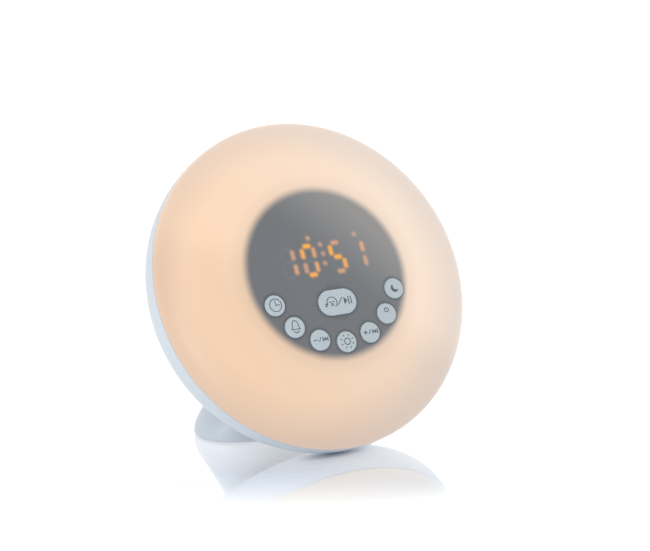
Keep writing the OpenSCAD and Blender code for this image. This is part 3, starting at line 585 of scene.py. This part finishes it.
def key_holes(grow=0.0):
    """The edges of all the key holes, or lines drawn that far outside them."""
    face = settings().face
    gap = 2 * face.key_gap + 2 * grow
    round_hole = 2 * face.key_radius + gap
    holes = [stadium_outline(round_hole, round_hole, key_place(i), 48) for i in range(len(key_names()))]
    snooze = stadium_outline(face.snooze_length + gap, face.snooze_width + gap, (0, -face.snooze_down), 64)
    return holes + [snooze]


def beside_key(p):
    """Distance from a point of the face to the edge of the nearest key hole, negative inside it."""
    face = settings().face
    places = [key_place(i) for i in range(len(key_names()))]
    round_keys = [math.hypot(p[0] - x, p[1] - y) - face.key_radius for x, y in places]
    half = (face.snooze_length - face.snooze_width) / 2
    along = p[0] - max(-half, min(half, p[0]))
    snooze = math.hypot(along, p[1] + face.snooze_down) - face.snooze_width / 2
    return min(round_keys + [snooze]) - face.key_gap


DISC = 50 * MM          # within this radius the dome is a free net round the key holes
RING = 160              # points round the dome


def ring_points(r):
    return [(r * math.cos(math.tau * k / RING), r * math.sin(math.tau * k / RING)) for k in range(RING)]


def disc_net():
    """Points and triangles of the dome's middle, seen square on, round the edges of the key holes."""
    face = settings().face
    loops = [ring_points(DISC)] + key_holes()
    points, edges = [], []
    for loop in loops:
        start, n = len(points), len(loop)
        points += [Vector(p) for p in loop]
        edges += [(start + k, start + (k + 1) % n) for k in range(n)]
    coarse, fine = 1.7 * MM, 0.45 * MM
    # three rows of points round each key hole
    for grow in (0.45 * MM, 0.95 * MM, 1.6 * MM):
        points += [Vector(p) for loop in key_holes(grow) for p in loop if math.hypot(*p) < DISC - fine]
    # a fine grid over the digits, and a coarser one elsewhere
    wide, tall = face.digit_far + 7 * MM, face.digit_height / 2 + 6 * MM
    steps = int(DISC / coarse)
    for j in range(-steps, steps + 1):
        for i in range(-steps, steps + 1):
            x, y = (i + 0.5 * (j % 2)) * coarse, j * coarse
            across, up = abs(x - face.display_side), abs(y - face.display_up)
            fine_here = across < wide + coarse / 2 and up < tall + coarse / 2
            if math.hypot(x, y) < DISC - coarse / 2 and not fine_here and beside_key((x, y)) > 2.2 * MM:
                points.append(Vector((x, y)))
    columns, rows = int(wide / fine), int(tall / fine)
    for j in range(-rows, rows + 1):
        for i in range(-columns, columns + 1):
            x, y = face.display_side + i * fine, face.display_up + j * fine
            if beside_key((x, y)) > 2 * MM:
                points.append(Vector((x, y)))
    found, _, faces, _, _, _ = delaunay_2d_cdt(points, edges, [], 0, 1e-7)
    kept = []
    for corners in faces:
        centre = sum((found[i] for i in corners), Vector((0, 0))) / 3
        if beside_key(centre) > 0:
            kept.append(tuple(corners))
    return found, kept


def dome_mesh():
    """The opal dome: outer skin, hollow underside, walls of the key holes and the lip at its rim."""
    head = settings().head
    outside, hollow = (head.radius, head.rise), (head.inner_radius, head.inner_rise)
    flat, triangles = disc_net()
    build = bmesh.new()
    outer = [build.verts.new((p.x, p.y, dome_height(p.length, *outside))) for p in flat]
    inner = [build.verts.new((p.x, p.y, dome_height(p.length, *hollow))) for p in flat]
    for a, b, c in triangles:
        build.faces.new((outer[a], outer[b], outer[c]))
        build.faces.new((inner[c], inner[b], inner[a]))
    build.verts.ensure_lookup_table()
    # rings from the free net out to the rim, closer together where the dome turns down
    start = math.degrees(math.asin((1 - (DISC / head.radius) ** 3) ** (1 / BULGE)))
    turns = [math.radians(3 * k) for k in range(int(start / 3), -1, -1)]
    edge_of = {}
    for i, p in enumerate(flat):
        if abs(p.length - DISC) < 1e-6:
            edge_of[round(math.atan2(p.y, p.x) / math.tau * RING) % RING] = i
    skins = []
    for (rim, rise), corners in ((outside, outer), (hollow, inner)):
        rows = [[corners[edge_of[k]] for k in range(RING)]]
        for a in turns:
            r = head.radius * (1 - math.sin(a) ** BULGE) ** (1 / 3)
            r = DISC + (r - DISC) * (rim - DISC) / (head.radius - DISC)
            z = dome_height(r, rim, rise)
            rows.append([build.verts.new((x, y, z)) for x, y in ring_points(r)])
        skins.append(rows)
    lip = [(head.lip_radius, 0), (head.lip_radius, -head.lip_depth), (head.inner_radius, -head.lip_depth)]
    lip_rows = [[build.verts.new((x, y, z)) for x, y in ring_points(r)] for r, z in lip]
    rows = skins[0] + lip_rows + skins[1][::-1]
    for low, high in zip(rows[:-1], rows[1:]):
        for k in range(RING):
            m = (k + 1) % RING
            build.faces.new((low[k], high[k], high[m], low[m]))
    # walls of the key holes
    twin = dict(zip(outer, inner))
    for edge in [e for e in build.edges if e.is_boundary and e.verts[0] in twin and e.verts[1] in twin]:
        a, b = edge.verts
        build.faces.new((a, b, twin[b], twin[a]))
    mesh = made_mesh("opal_dome", build, 40)
    true_shading(mesh)
    return mesh


def true_shading(mesh):
    """Gives the outer skin the exact direction of the dome, whatever the net under it."""
    head = settings().head
    normals = [Vector((0, 0, 0))] * len(mesh.loops)
    for face in mesh.polygons:
        x, y, z = face.center
        in_front = face.normal.z > 0 or z > 0.2 * MM
        on_skin = abs(z - dome_height(math.hypot(x, y), head.radius, head.rise)) < 0.5 * MM
        along_it = abs(face.normal.dot(dome_normal(x, y, head.radius, head.rise))) > 0.9
        if in_front and on_skin and along_it:
            for loop in face.loop_indices:
                p = mesh.vertices[mesh.loops[loop].vertex_index].co
                normals[loop] = dome_normal(p.x, p.y, head.radius, head.rise)
    mesh.normals_split_custom_set(normals)


# Bars of a digit as (across, up, upright), in half widths and half heights
BARS = {
    "top": (0, 1, False), "upper_right": (1, 0.5, True), "lower_right": (1, -0.5, True),
    "bottom": (0, -1, False), "lower_left": (-1, -0.5, True), "upper_left": (-1, 0.5, True),
    "middle": (0, 0, False),
}
# How brightly each lit bar of 10:51 shines, from the outer left digit to the outer right one
LIGHTS = [
    {"upper_right": 0.20, "lower_right": 0.42},
    {"top": 1.0, "upper_left": 0.82, "upper_right": 0.45,
     "lower_left": 0.24, "lower_right": 0.55, "bottom": 0.92},
    {"top": 0.32, "upper_left": 0.88, "middle": 0.92, "lower_right": 0.78, "bottom": 0.34},
    {"upper_right": 0.48, "lower_right": 0.22},
]
# Small round lights as (across, up, brightness) in millimetres from the middle of the display
SMALL_LIGHTS = [
    (-0.2, 7.4, 0.16), (0.2, 2.5, 0.10), (-0.1, -2.4, 0.16), (-6.1, 11.3, 0.30), (20.1, 10.4, 0.12),
]


def display_lights():
    """Every bar and dot of the display as (start, end, brightness), where 0 is a bar that is off."""
    face = settings().face
    half_w, half_h = face.digit_width / 2, face.digit_height / 2
    # half lengths of the upright and the level bars, which end short of the digit's corners
    upright, level = half_h / 2 - 2.2 * MM, half_w - 2.1 * MM
    marks = []
    digits = (-face.digit_far, -face.digit_near, face.digit_near, face.digit_far)
    for digit, across in enumerate(digits):
        for bar, (side, high, stands) in BARS.items():
            centre = Vector((face.display_side + across + side * half_w, face.display_up + high * half_h))
            reach = Vector((0, upright)) if stands else Vector((level, 0))
            marks.append((centre - reach, centre + reach, LIGHTS[digit].get(bar, 0)))
    for across, high, bright in SMALL_LIGHTS:
        spot = Vector((face.display_side + across * MM, face.display_up + high * MM))
        marks.append((spot, spot, bright))
    return marks


def distance_to(p, start, end):
    along = end - start
    if along.length_squared == 0:
        return (p - start).length
    t = max(0, min(1, (p - start).dot(along) / along.length_squared))
    return (p - start - along * t).length


def paint_display_and_key_shade(mesh):
    """Writes each point's share of the display's light into the mesh, as blurred as the dome makes it, and the
    painted shade round each key.
    """
    face, tint = settings().face, settings().finish
    bright, pale, ghost = Vector(tint.digit), Vector(tint.pale_digit), Vector(tint.ghost)
    marks = display_lights()
    light = mesh.attributes.new("display_light_and_key_shade", "FLOAT_COLOR", "POINT")
    dark = Vector(tint.key_shade)
    for vertex, value in zip(mesh.vertices, light.data):
        p, in_front = vertex.co.to_2d(), vertex.co.z > 0
        total, cover = Vector((0, 0, 0)), 0.0
        gap = beside_key(p)
        # painted shade round each key: the dome darker next to the gap, fading out away from it
        if in_front and gap < 3 * face.shade_width:
            cover = 0.6 * math.exp(-((gap / face.shade_width) ** 2))
            total = dark * cover
        # the bars and dots, none of which reaches outside this window
        if in_front and abs(p.y - face.display_up) < 15 * MM and abs(p.x) < 28 * MM:
            for start, end, strength in marks:
                near = distance_to(p, start, end) / face.bar_blur
                if near < 3:
                    spread = math.exp(-(near**2.6))
                    weight = spread * (0.62 + 0.38 * strength if strength else 0.3) * (1 - cover)
                    total += (pale.lerp(bright, strength) if strength else ghost) * weight
                    cover += weight
        value.color = (*total, cover)


class CLOCK_OT_opal_dome(bpy.types.Operator):
    """Build the glowing opal dome with its key holes, dark panel and lit digits"""

    bl_idname = "clock.opal_dome"
    bl_label = "Opal dome"

    def execute(self, context):
        mesh = dome_mesh()
        paint_display_and_key_shade(mesh)
        piece("opal_dome", mesh, HEAD, opal_finish(), "clock", "opal_dome", "diffuser_dome")
        return {"FINISHED"}


# ------------------------------------------------------------------ keys


def key_top(i):
    face, head = settings().face, settings().head
    if i < len(key_names()):
        return dome_height(face.key_circle, head.radius, head.rise) + face.key_proud
    return dome_height(face.snooze_down, head.radius, head.rise) + face.snooze_proud


CROWN = 0.15 * MM           # how much a key's top is domed
KEY_EDGE = 0.8 * MM         # rounding of a key's edge
COLLAR_LOW = 16.2 * MM      # underside of the collar that keeps a key under the dome
COLLAR_THICK = 0.8 * MM
COLLAR_REACH = 0.4 * MM
STEM = (1.9 * MM, 14.1 * MM, 16.3 * MM)     # radius, low end and high end of a key's stem


def key_outline(radius, top):
    """Half section of a key: crowned top, rounded edge, straight side and collar."""
    flat, shoulder = radius - KEY_EDGE, top - CROWN - KEY_EDGE
    crown = [(flat * k / 5, top - CROWN * (k / 5) ** 2) for k in range(6)]
    turns = [math.radians(15 * k) for k in range(1, 7)]
    edge = [(flat + KEY_EDGE * math.sin(a), shoulder + KEY_EDGE * math.cos(a)) for a in turns]
    low, high, reach = COLLAR_LOW, COLLAR_LOW + COLLAR_THICK, radius + COLLAR_REACH
    return crown + edge + [(radius, high), (reach, high), (reach, low), (0, low)]


def height_on_key(x, y, radius, half, top):
    """Height of a key's crowned top at a place on it."""
    along = abs(x) - half if abs(x) > half else 0
    return top - CROWN * min(math.hypot(along, y) / (radius - KEY_EDGE), 1) ** 2


def stroke(points, closed=False):
    """Outline of a drawn line, as one four-cornered patch for each straight run."""
    reach = settings().face.ink_width / MM / 2
    run = [Vector(p) for p in points]
    n = len(run)
    sides = []
    for i, p in enumerate(run):
        before = run[(i - 1) % n] if closed or i else None
        after = run[(i + 1) % n] if closed or i < n - 1 else None
        a = (p - before).normalized() if before is not None else (after - p).normalized()
        b = (after - p).normalized() if after is not None else a
        normal = Vector((-(a + b).y, (a + b).x)).normalized()
        normal *= reach / max(normal.dot(Vector((-a.y, a.x))), 0.4)
        sides.append((p + normal, p - normal))
    last = n if closed else n - 1
    pairs = [(sides[i], sides[(i + 1) % n]) for i in range(last)]
    return [(here[0], here[1], there[1], there[0]) for here, there in pairs]


def arc(centre, radius, start, end, steps, tall=1.0):
    """Points along part of a circle or an ellipse, angles in degrees."""
    turns = [math.radians(start + (end - start) * k / steps) for k in range(steps + 1)]
    return [(centre[0] + radius * math.cos(a), centre[1] + radius * tall * math.sin(a)) for a in turns]


def bars(*places, tall=1.2, wide=0.5):
    return [[(x, -tall), (x + wide, -tall), (x + wide, tall), (x, tall)] for x in places]


def pointer(x, way, tall=1.15, long=1.45):
    """A filled triangle that points left or right."""
    return [(x, -tall), (x, tall), (x + way * long, 0)]


def symbols(key):
    """The drawing on a key, in millimetres from its middle, as filled patches."""
    if key == "clock":
        return stroke(arc((0, 0), 3.2, 0, 352, 44), closed=True) + stroke([(0.1, 2.5), (0, 0), (2.3, 0)])
    if key == "alarm":
        side = [(2.3, -1.2), (1.9, -0.3), (1.3, 2.3), (0.8, 3.05)]
        bell = [(-x, y) for x, y in side] + [(0, 3.25)] + side[::-1]
        return stroke(bell, closed=True) + stroke(arc((0, -1.9), 1.3, 180, 360, 14, 0.8))
    if key in ("minus", "plus"):
        sign, slash = stroke([(-4.1, 0), (-1.7, 0)]), stroke([(-1.1, -1.0), (0.2, 1.1)])
        if key == "minus":
            return sign + slash + bars(0.9) + [pointer(x, -1, long=1.3) for x in (2.75, 4.1)]
        sign += stroke([(-2.9, -1.2), (-2.9, 1.2)])
        return sign + slash + [pointer(x, 1, long=1.3) for x in (0.95, 2.3)] + bars(3.65)
    if key == "light":
        rays = []
        for k in range(8):
            a = math.radians(22.5 + 45 * k)
            rays += stroke([(2.8 * math.cos(a), 2.8 * math.sin(a)), (3.8 * math.cos(a), 3.8 * math.sin(a))])
        return stroke(arc((0, 0), 1.6, 0, 345, 23), closed=True) + rays
    if key == "mode":
        return stroke(arc((0, 1.7), 1.15, 125, 415, 24)) + stroke([(0, 3.3), (0, 1.9)])
    if key == "sleep":
        outer = arc((0.15, 0.0), 2.1, 125, 330, 24)
        inner = arc((0.95, 0.75), 1.75, 300, 150, 18)
        return [outer + inner]
    # the snooze key: a dozing face, a stroke, and play and pause
    eyes = stroke(arc((-4.6, 0.75), 0.6, 200, 340, 6)) + stroke(arc((-2.6, 0.75), 0.6, 200, 340, 6))
    mouth = stroke(arc((-3.5, -1.1), 0.55, 0, 330, 10), closed=True)
    face = stroke(arc((-3.5, 0), 2.75, -60, 205, 34)) + mouth
    doze = stroke([(-7.4, -0.5), (-6.3, -0.5), (-7.4, -1.7), (-6.3, -1.7)])
    slash = stroke([(-0.5, -1.8), (2.6, 2.0)])
    return face + eyes + doze + slash + [pointer(3.3, 1, 1.9, 1.9)] + bars(5.6, 7.0, tall=2.0, wide=0.55)


def printed(shapes, height, place):
    """Thin printed patches that follow a key's top."""
    thick = 0.05 * MM
    parts = []
    for shape in shapes:
        spots = [(x * MM, y * MM) for x, y in shape]
        n = len(spots)
        top = [(x + place[0], y + place[1], height(x, y) + thick) for x, y in spots]
        low = [(x + place[0], y + place[1], height(x, y) - thick) for x, y in spots]
        sides = [(k, (k + 1) % n, n + (k + 1) % n, n + k) for k in range(n)]
        parts.append((top + low, [tuple(range(n)), tuple(range(n, 2 * n))] + sides))
    return solid("print", parts, sharp=30)


class CLOCK_OT_keys(bpy.types.Operator):
    """Build the seven round keys and the snooze key, each with its printed symbol"""

    bl_idname = "clock.keys"
    bl_label = "Keys"

    def execute(self, context):
        face, tint = settings().face, settings().finish
        cap = moulded("key_cap", tint.key, rough=0.5, grain=0.01, fineness=2400)
        ink = moulded("key_print", tint.ink, rough=0.6, grain=0.004, spread=0.08)
        names = key_names() + ["snooze"]
        for i, name in enumerate(names):
            last = i == len(names) - 1
            place = (0, -face.snooze_down) if last else key_place(i)
            radius = face.snooze_width / 2 if last else face.key_radius
            half = (face.snooze_length - face.snooze_width) / 2 if last else 0
            top = key_top(i)
            body = turned(key_outline(radius, top), 64, half=half, at=place)
            mesh = solid(name + "_cap", [body, pin(*STEM, at=place)])
            piece(name + "_cap", mesh, HEAD, cap, name + "_key", "key_grey", "key_" + name)
            mesh = printed(symbols(name), lambda x, y: height_on_key(x, y, radius, half, top), place)
            piece(name + "_print", mesh, HEAD, ink, name + "_key", "key_grey")
        return {"FINISHED"}


# ------------------------------------------------------------------ rear shell


def shell_curve(across, deep, flat, steps=18):
    """The rounded edge of the back, from the seam down to the flat middle."""
    power = 2 / 2.78
    turns = [math.pi / 2 * k / steps for k in range(steps + 1)]
    return [(flat + across * math.cos(a) ** power, -deep * math.sin(a) ** power) for a in turns]


def stepped(wide, narrow, low, ledge, high):
    """Half section of a round hole that narrows at a ledge."""
    return [(0, low), (wide, low), (wide, ledge), (narrow, ledge), (narrow, high), (0, high)]


def shell_plastic(name):
    return moulded(name, settings().finish.shell, rough=0.34, grain=0.004)


REAR_SCREWS = (30, 150, 195, 345)       # angles round the head's axis, in degrees
SCREW_HOLE = 1.7 * MM                   # radii at a rear screw
SCREW_WELL = 3.4 * MM
SCREW_BOSS = 5 * MM
SPEAKER_AT = (0, 34 * MM)               # the loudspeaker's axis, in the head's frame
# Holes over the foot as (across, up, radius) in millimetres: one for the leads, three for the foot's screws
FOOT_HOLES = ((0, -27, 4.5), (-18, -18, 1.7), (18, -18, 1.7), (0, -40, 1.7))


class CLOCK_OT_rear_shell(bpy.types.Operator):
    """Build the rear shell with its shadow groove, screw wells, grille seat and power hole"""

    bl_idname = "clock.rear_shell"
    bl_label = "Rear shell"

    def execute(self, context):
        head = settings().head
        bend = head.radius - head.flat_radius
        back, inside = -head.shell_depth, head.shell_wall - head.shell_depth
        # tools reach past both faces of the back
        below, above = back - 1 * MM, inside + 1 * MM
        groove_in, groove_deep = 0.8 * MM, 0.6 * MM
        groove = head.radius - groove_in
        outer = [p for p in shell_curve(bend, head.shell_depth, head.flat_radius) if p[1] < -groove_deep]
        inner = shell_curve(bend - head.shell_wall, head.shell_depth - head.shell_wall, head.flat_radius)
        outline = [(groove, 0), (groove, -groove_deep), (head.radius - 0.05 * MM, -groove_deep)]
        outline += outer + [(0, back), (0, inside)] + inner[::-1]
        mesh = solid("rear_shell", [turned(outline, 160, closed=True)])
        wells, bosses = [], []
        for angle in REAR_SCREWS:
            a = math.radians(angle)
            at = (head.boss_circle * math.cos(a), head.boss_circle * math.sin(a))
            bosses.append(pin(SCREW_BOSS, inside - 1 * MM, -16 * MM, at))
            well = stepped(SCREW_WELL, SCREW_HOLE, below, back + 5 * MM, -10 * MM)
            wells.append(turned(well, 48, at=at))
        seat = stepped(22 * MM, 19 * MM, below, back + 1.4 * MM, above)
        wells.append(turned(seat, 96, at=SPEAKER_AT))
        wells.append(pin(4.5 * MM, below, above, INLET_AT))
        wells += [pin(r * MM, below, above, (x * MM, y * MM)) for x, y, r in FOOT_HOLES]
        mesh = joined(mesh, solid("bosses", bosses), "UNION")
        mesh = joined(mesh, solid("wells", wells), "DIFFERENCE")
        soften(mesh, 30)
        finish = shell_plastic("shell_moulding")
        piece("back_shell", mesh, HEAD, finish, "clock", "shell_white", "rear_shell")
        return {"FINISHED"}


# ------------------------------------------------------------------ foot


LIP_FRONT = 36 * MM     # the door's lip is the part of the foot's wall behind this
BEHIND = 70 * MM        # behind the foot, where a tool ends
UNDER = -1 * MM         # under the foot, where a tool starts


def foot_half_width(z):
    """Half width at a height: full near the table, then narrowing up to the neck."""
    foot = settings().foot
    up = max(z - 3.3 * MM, 0) / (33.1 * MM)
    return foot.neck + (foot.half_width - foot.neck) / (1 + up**1.571)


def foot_rear(z):
    """Where the back of the foot is at a height: it leans forward towards the head."""
    up = max(z - 5 * MM, 0) / (67 * MM)
    return settings().foot.back - 23.2 * MM * up**1.5


def foot_ring(z, inset, sides=120, power=2.15):
    """The foot's rounded outline at one height, drawn in by a wall if need be."""
    foot = settings().foot
    drop = max(foot.clearance + foot.edge - z, 0)
    if drop and not inset:
        inset = foot.edge - math.sqrt(max(foot.edge**2 - drop**2, 0))
    a = foot_half_width(z) - inset
    front, rear = foot.front + inset, foot_rear(z) - inset
    ring = []
    for k in range(sides):
        c, s = math.cos(math.tau * k / sides), math.sin(math.tau * k / sides)
        x = a * math.copysign(abs(c) ** (2 / power), c)
        y = (front + rear) / 2 + (rear - front) / 2 * math.copysign(abs(s) ** (2 / power), s)
        ring.append((x, y, z))
    return ring


def foot_solid():
    foot = settings().foot
    low = [foot.clearance + foot.edge * d for d in (0, 0.04, 0.12, 0.25, 0.45, 0.7, 1)]
    levels = low + [3.2 * MM + 1.6 * MM * k for k in range(47)]
    return solid("foot_solid", [lofted([foot_ring(z, 0) for z in levels])])


def foot_hollow():
    levels = [UNDER, UNDER + 2 * MM] + [UNDER + 4 * MM + 3 * MM * k for k in range(25)]
    return solid("foot_hollow", [lofted([foot_ring(z, settings().foot.wall) for z in levels])])


class CLOCK_OT_foot(bpy.types.Operator):
    """Build the hollow foot, cut to the back of the head and open for the battery door's lip"""

    bl_idname = "clock.foot"
    bl_label = "Foot"

    def execute(self, context):
        foot, head = settings().foot, settings().head
        gap = 0.3 * MM
        side, top = foot.lip_half + gap, foot.lip_top + gap
        mesh = joined(foot_solid(), foot_hollow(), "DIFFERENCE")
        notch = solid("notch", [block((-side, LIP_FRONT, UNDER), (side, BEHIND, top))])
        mesh = joined(mesh, notch, "DIFFERENCE")
        # everything in front of the head's back is cut away
        far = 0.12
        in_front = solid("head_side", [block((-far, -far, -head.shell_depth), (far, far, far))])
        in_front.transform(FOOT.inverted() @ HEAD)
        mesh = joined(mesh, in_front, "DIFFERENCE")
        soften(mesh, 35)
        finish = shell_plastic("foot_moulding")
        piece("hollow_foot", mesh, FOOT, finish, "clock", "base_white", "foot_shell")
        return {"FINISHED"}


class CLOCK_OT_battery_door(bpy.types.Operator):
    """Build the sliding battery door: plate, rails, upright lip and finger grooves"""

    bl_idname = "clock.battery_door"
    bl_label = "Battery door"

    def execute(self, context):
        foot = settings().foot
        door, lip_side, plate_top = foot.door_half, foot.lip_half, foot.clearance + 1.8 * MM
        plate = solid("plate", [block((-door, foot.door_front, UNDER), (door, BEHIND, plate_top))])
        plate = joined(foot_solid(), plate, "INTERSECT")
        lip = solid("lip", [block((-lip_side, LIP_FRONT, UNDER), (lip_side, BEHIND, foot.lip_top))])
        shell = joined(foot_solid(), foot_hollow(), "DIFFERENCE")
        mesh = joined(plate, joined(shell, lip, "INTERSECT"), "UNION")
        # each rail is an upright web, with an edge that reaches out sideways
        front, back, high = foot.door_front + 1 * MM, foot.door_front + 35 * MM, 3.9 * MM
        webs, edges = [], []
        for side in (-1, 1):
            web = side * (door - 1 * MM)
            low = foot.clearance + 1 * MM
            webs.append(block((web - 1 * MM, front, low), (web + 1 * MM, back, high)))
            left, right = sorted((side * (door - 2 * MM), side * lip_side))
            edges.append(block((left, front, 2.75 * MM), (right, back, high)))
        mesh = joined(mesh, solid("rail_webs", webs), "UNION")
        mesh = joined(mesh, solid("rail_edges", edges), "UNION")
        ends = foot.clearance + 2.2 * MM, foot.clearance + 6.2 * MM
        places = [(3 * MM * k, foot.back + 0.1 * MM) for k in range(-2, 3)]
        grooves = [pin(0.6 * MM, *ends, at, 24) for at in places]
        mesh = joined(mesh, solid("grooves", grooves), "DIFFERENCE")
        soften(mesh, 35)
        finish = moulded("door_moulding", settings().finish.shell)
        piece("battery_slide", mesh, FOOT, finish, "door", "base_white", "battery_door")
        return {"FINISHED"}


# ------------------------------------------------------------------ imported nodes


class CLOCK_OT_node_finishes(bpy.types.Operator):
    """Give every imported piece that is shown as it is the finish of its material"""

    bl_idname = "clock.node_finishes"
    bl_label = "Fittings and inner pieces"

    def execute(self, context):
        finishes = node_finishes()
        for part in frame["record"]["subparts"]:
            finish = finishes.get(part["material_slot"])
            if finish:
                for holder in frame["nodes"][part["node"]].material_slots:
                    holder.material = finish
        return {"FINISHED"}


# ------------------------------------------------------------------ studio


def floor_finish():
    """White glowing table top that mirrors the clock, less and less towards the camera."""
    studio = settings().studio
    made = Finish("white_table", emission_strength=studio.floor_glow, specular_ior_level=0.0)
    made.shader.inputs["Base Color"].default_value = (0.4, 0.4, 0.4, 1)
    made.roughness(0.9)
    x, y, _ = made.axes()
    behind = made.maths("SUBTRACT", y, HEAD_AT.y)
    toward = made.slope(x, behind, -math.sin(studio.camera_turn), -math.cos(studio.camera_turn))
    fade = made.ramp(toward, studio.mirror_near, studio.mirror_far, studio.mirror, 0)
    fade = made.maths("MULTIPLY", fade, made.ramp(toward, 0, 60 * MM, 0.72, 1))
    around = made.ramp(made.from_axis(x, y, (0, HEAD_AT.y)), 90 * MM, 150 * MM, 1, 0)
    # the head's rim throws a small dark contact shadow where it meets the table
    shadow = made.ramp(made.from_axis(made.maths("MULTIPLY", x, 0.32), y, TOUCH), 0, 8 * MM)
    made.feed(made.shader.inputs["Emission Color"], made.mix(shadow, (0.16, 0.2, 0.27), (1, 1, 1)))
    sheen = made.mix(made.ramp(toward, 40 * MM, 75 * MM), (0.93, 0.95, 1), (0.68, 0.83, 1))
    sheen = made.mix(shadow, (0.2, 0.24, 0.32), sheen)
    mirror = made.add("ShaderNodeBsdfGlossy", {"Color": sheen, "Roughness": 0.03})
    mirrored = made.maths("MULTIPLY", fade, around)
    blend = made.add("ShaderNodeMixShader", {0: mirrored, 1: made.shader.outputs[0], 2: mirror.outputs[0]})
    output = next(n for n in made.nodes if n.type == "OUTPUT_MATERIAL")
    made.links.new(blend.outputs[0], output.inputs[0])
    return made.material


def room():
    """A white room, darker on the side that the camera stands on."""
    studio = settings().studio
    world = bpy.data.worlds.new("studio_room")
    world.use_nodes = True
    nodes, links = world.node_tree.nodes, world.node_tree.links
    way = nodes.new("ShaderNodeTexCoord")
    toward = nodes.new("ShaderNodeVectorMath")
    toward.operation = "DOT_PRODUCT"
    toward.inputs[1].default_value = (-math.sin(studio.camera_turn), -math.cos(studio.camera_turn), 0)
    links.new(way.outputs["Generated"], toward.inputs[0])
    fall = nodes.new("ShaderNodeMapRange")
    fall.interpolation_type = "SMOOTHSTEP"
    limits = {"From Min": -0.75, "From Max": 0.9, "To Min": studio.room_back, "To Max": studio.room_front}
    for key, value in limits.items():
        fall.inputs[key].default_value = value
    links.new(toward.outputs["Value"], fall.inputs["Value"])
    nodes["Background"].inputs["Color"].default_value = (1, 1, 1, 1)
    links.new(fall.outputs[0], nodes["Background"].inputs["Strength"])
    return world


def lamp(name, place, size_across, power, tint, target=HEAD_AT):
    """A soft square studio lamp that looks at the head or at another place."""
    light = bpy.data.lights.new(name, "AREA")
    light.shape, light.size, light.energy, light.color = "SQUARE", size_across, power, tint
    holder = placed(name, light)
    holder.location = place
    holder.rotation_euler = (Vector(target) - Vector(place)).to_track_quat("-Z", "Y").to_euler()


class CLOCK_OT_studio(bpy.types.Operator):
    """Lay the white table, hang the soft lamps and set up the camera"""

    bl_idname = "clock.studio"
    bl_label = "Studio"

    def execute(self, context):
        studio, scene = settings().studio, bpy.context.scene
        half, cells = 4.0, 24
        n = cells + 1
        steps = [half * (2 * k / cells - 1) for k in range(n)]
        points = [(x, y, 0) for y in steps for x in steps]
        corners = [j * n + i for j in range(cells) for i in range(cells)]
        faces = [(k, k + 1, k + n + 1, k + n) for k in corners]
        mesh = bpy.data.meshes.new("table_top")
        mesh.from_pydata(points, [], faces)
        mesh.materials.append(floor_finish())
        placed("table_top", mesh)
        scene.world = room()
        lamp("key_lamp", (-1.2, -1.2, 1.6), 1.2, 9, (1, 1, 1))
        lamp("fill_lamp", (1.5, -0.9, 0.9), 1.4, 4, (1, 0.99, 0.98))
        lamp("low_lamp", (-0.60, -0.45, 0.10), 0.4, 2.1, (0.96, 0.98, 1), (-0.03, 0, 0.01))
        around, climb = studio.camera_turn, studio.camera_climb
        view = bpy.data.cameras.new("camera")
        view.sensor_width, view.lens = 36, studio.lens
        view.shift_x, view.shift_y = studio.shift_across, studio.shift_up
        view.clip_end = 20
        camera = placed("camera", view)
        level = math.cos(climb)
        back = Vector((-math.sin(around) * level, -math.cos(around) * level, math.sin(climb)))
        camera.location = HEAD_AT + back * studio.camera_far
        camera.rotation_euler = (-back).to_track_quat("-Z", "Y").to_euler()
        scene.camera = camera
        scene.view_settings.view_transform = "Standard"
        return {"FINISHED"}


# ------------------------------------------------------------------ panel and registration


class CLOCK_PT_panel(bpy.types.Panel):
    """The steps that dress the clock, in order"""

    bl_label = "Sunrise alarm clock"
    bl_space_type = "VIEW_3D"
    bl_region_type = "UI"
    bl_category = "Clock"

    def draw(self, context):
        for step in STEPS:
            self.layout.operator(step.bl_idname)
        for group in ("head", "face", "foot", "finish", "studio"):
            box = self.layout.box()
            box.label(text=group.title())
            values = getattr(context.scene.clock, group)
            for key in values.__annotations__:
                box.prop(values, key)


STEPS = [
    CLOCK_OT_opal_dome, CLOCK_OT_keys, CLOCK_OT_rear_shell, CLOCK_OT_foot, CLOCK_OT_battery_door,
    CLOCK_OT_node_finishes, CLOCK_OT_studio,
]
GROUPS = [HeadSettings, FaceSettings, FootSettings, FinishSettings, StudioSettings, ClockSettings]


def register():
    for cls in GROUPS + STEPS + [CLOCK_PT_panel]:
        bpy.utils.register_class(cls)
    bpy.types.Scene.clock = PointerProperty(type=ClockSettings)


def unregister():
    del bpy.types.Scene.clock
    for cls in reversed(GROUPS + STEPS + [CLOCK_PT_panel]):
        bpy.utils.unregister_class(cls)


def main():
    register()
    for step in STEPS:
        family, _, name = step.bl_idname.partition(".")
        getattr(getattr(bpy.ops, family), name)()


if __name__ == "__main__":
    main()
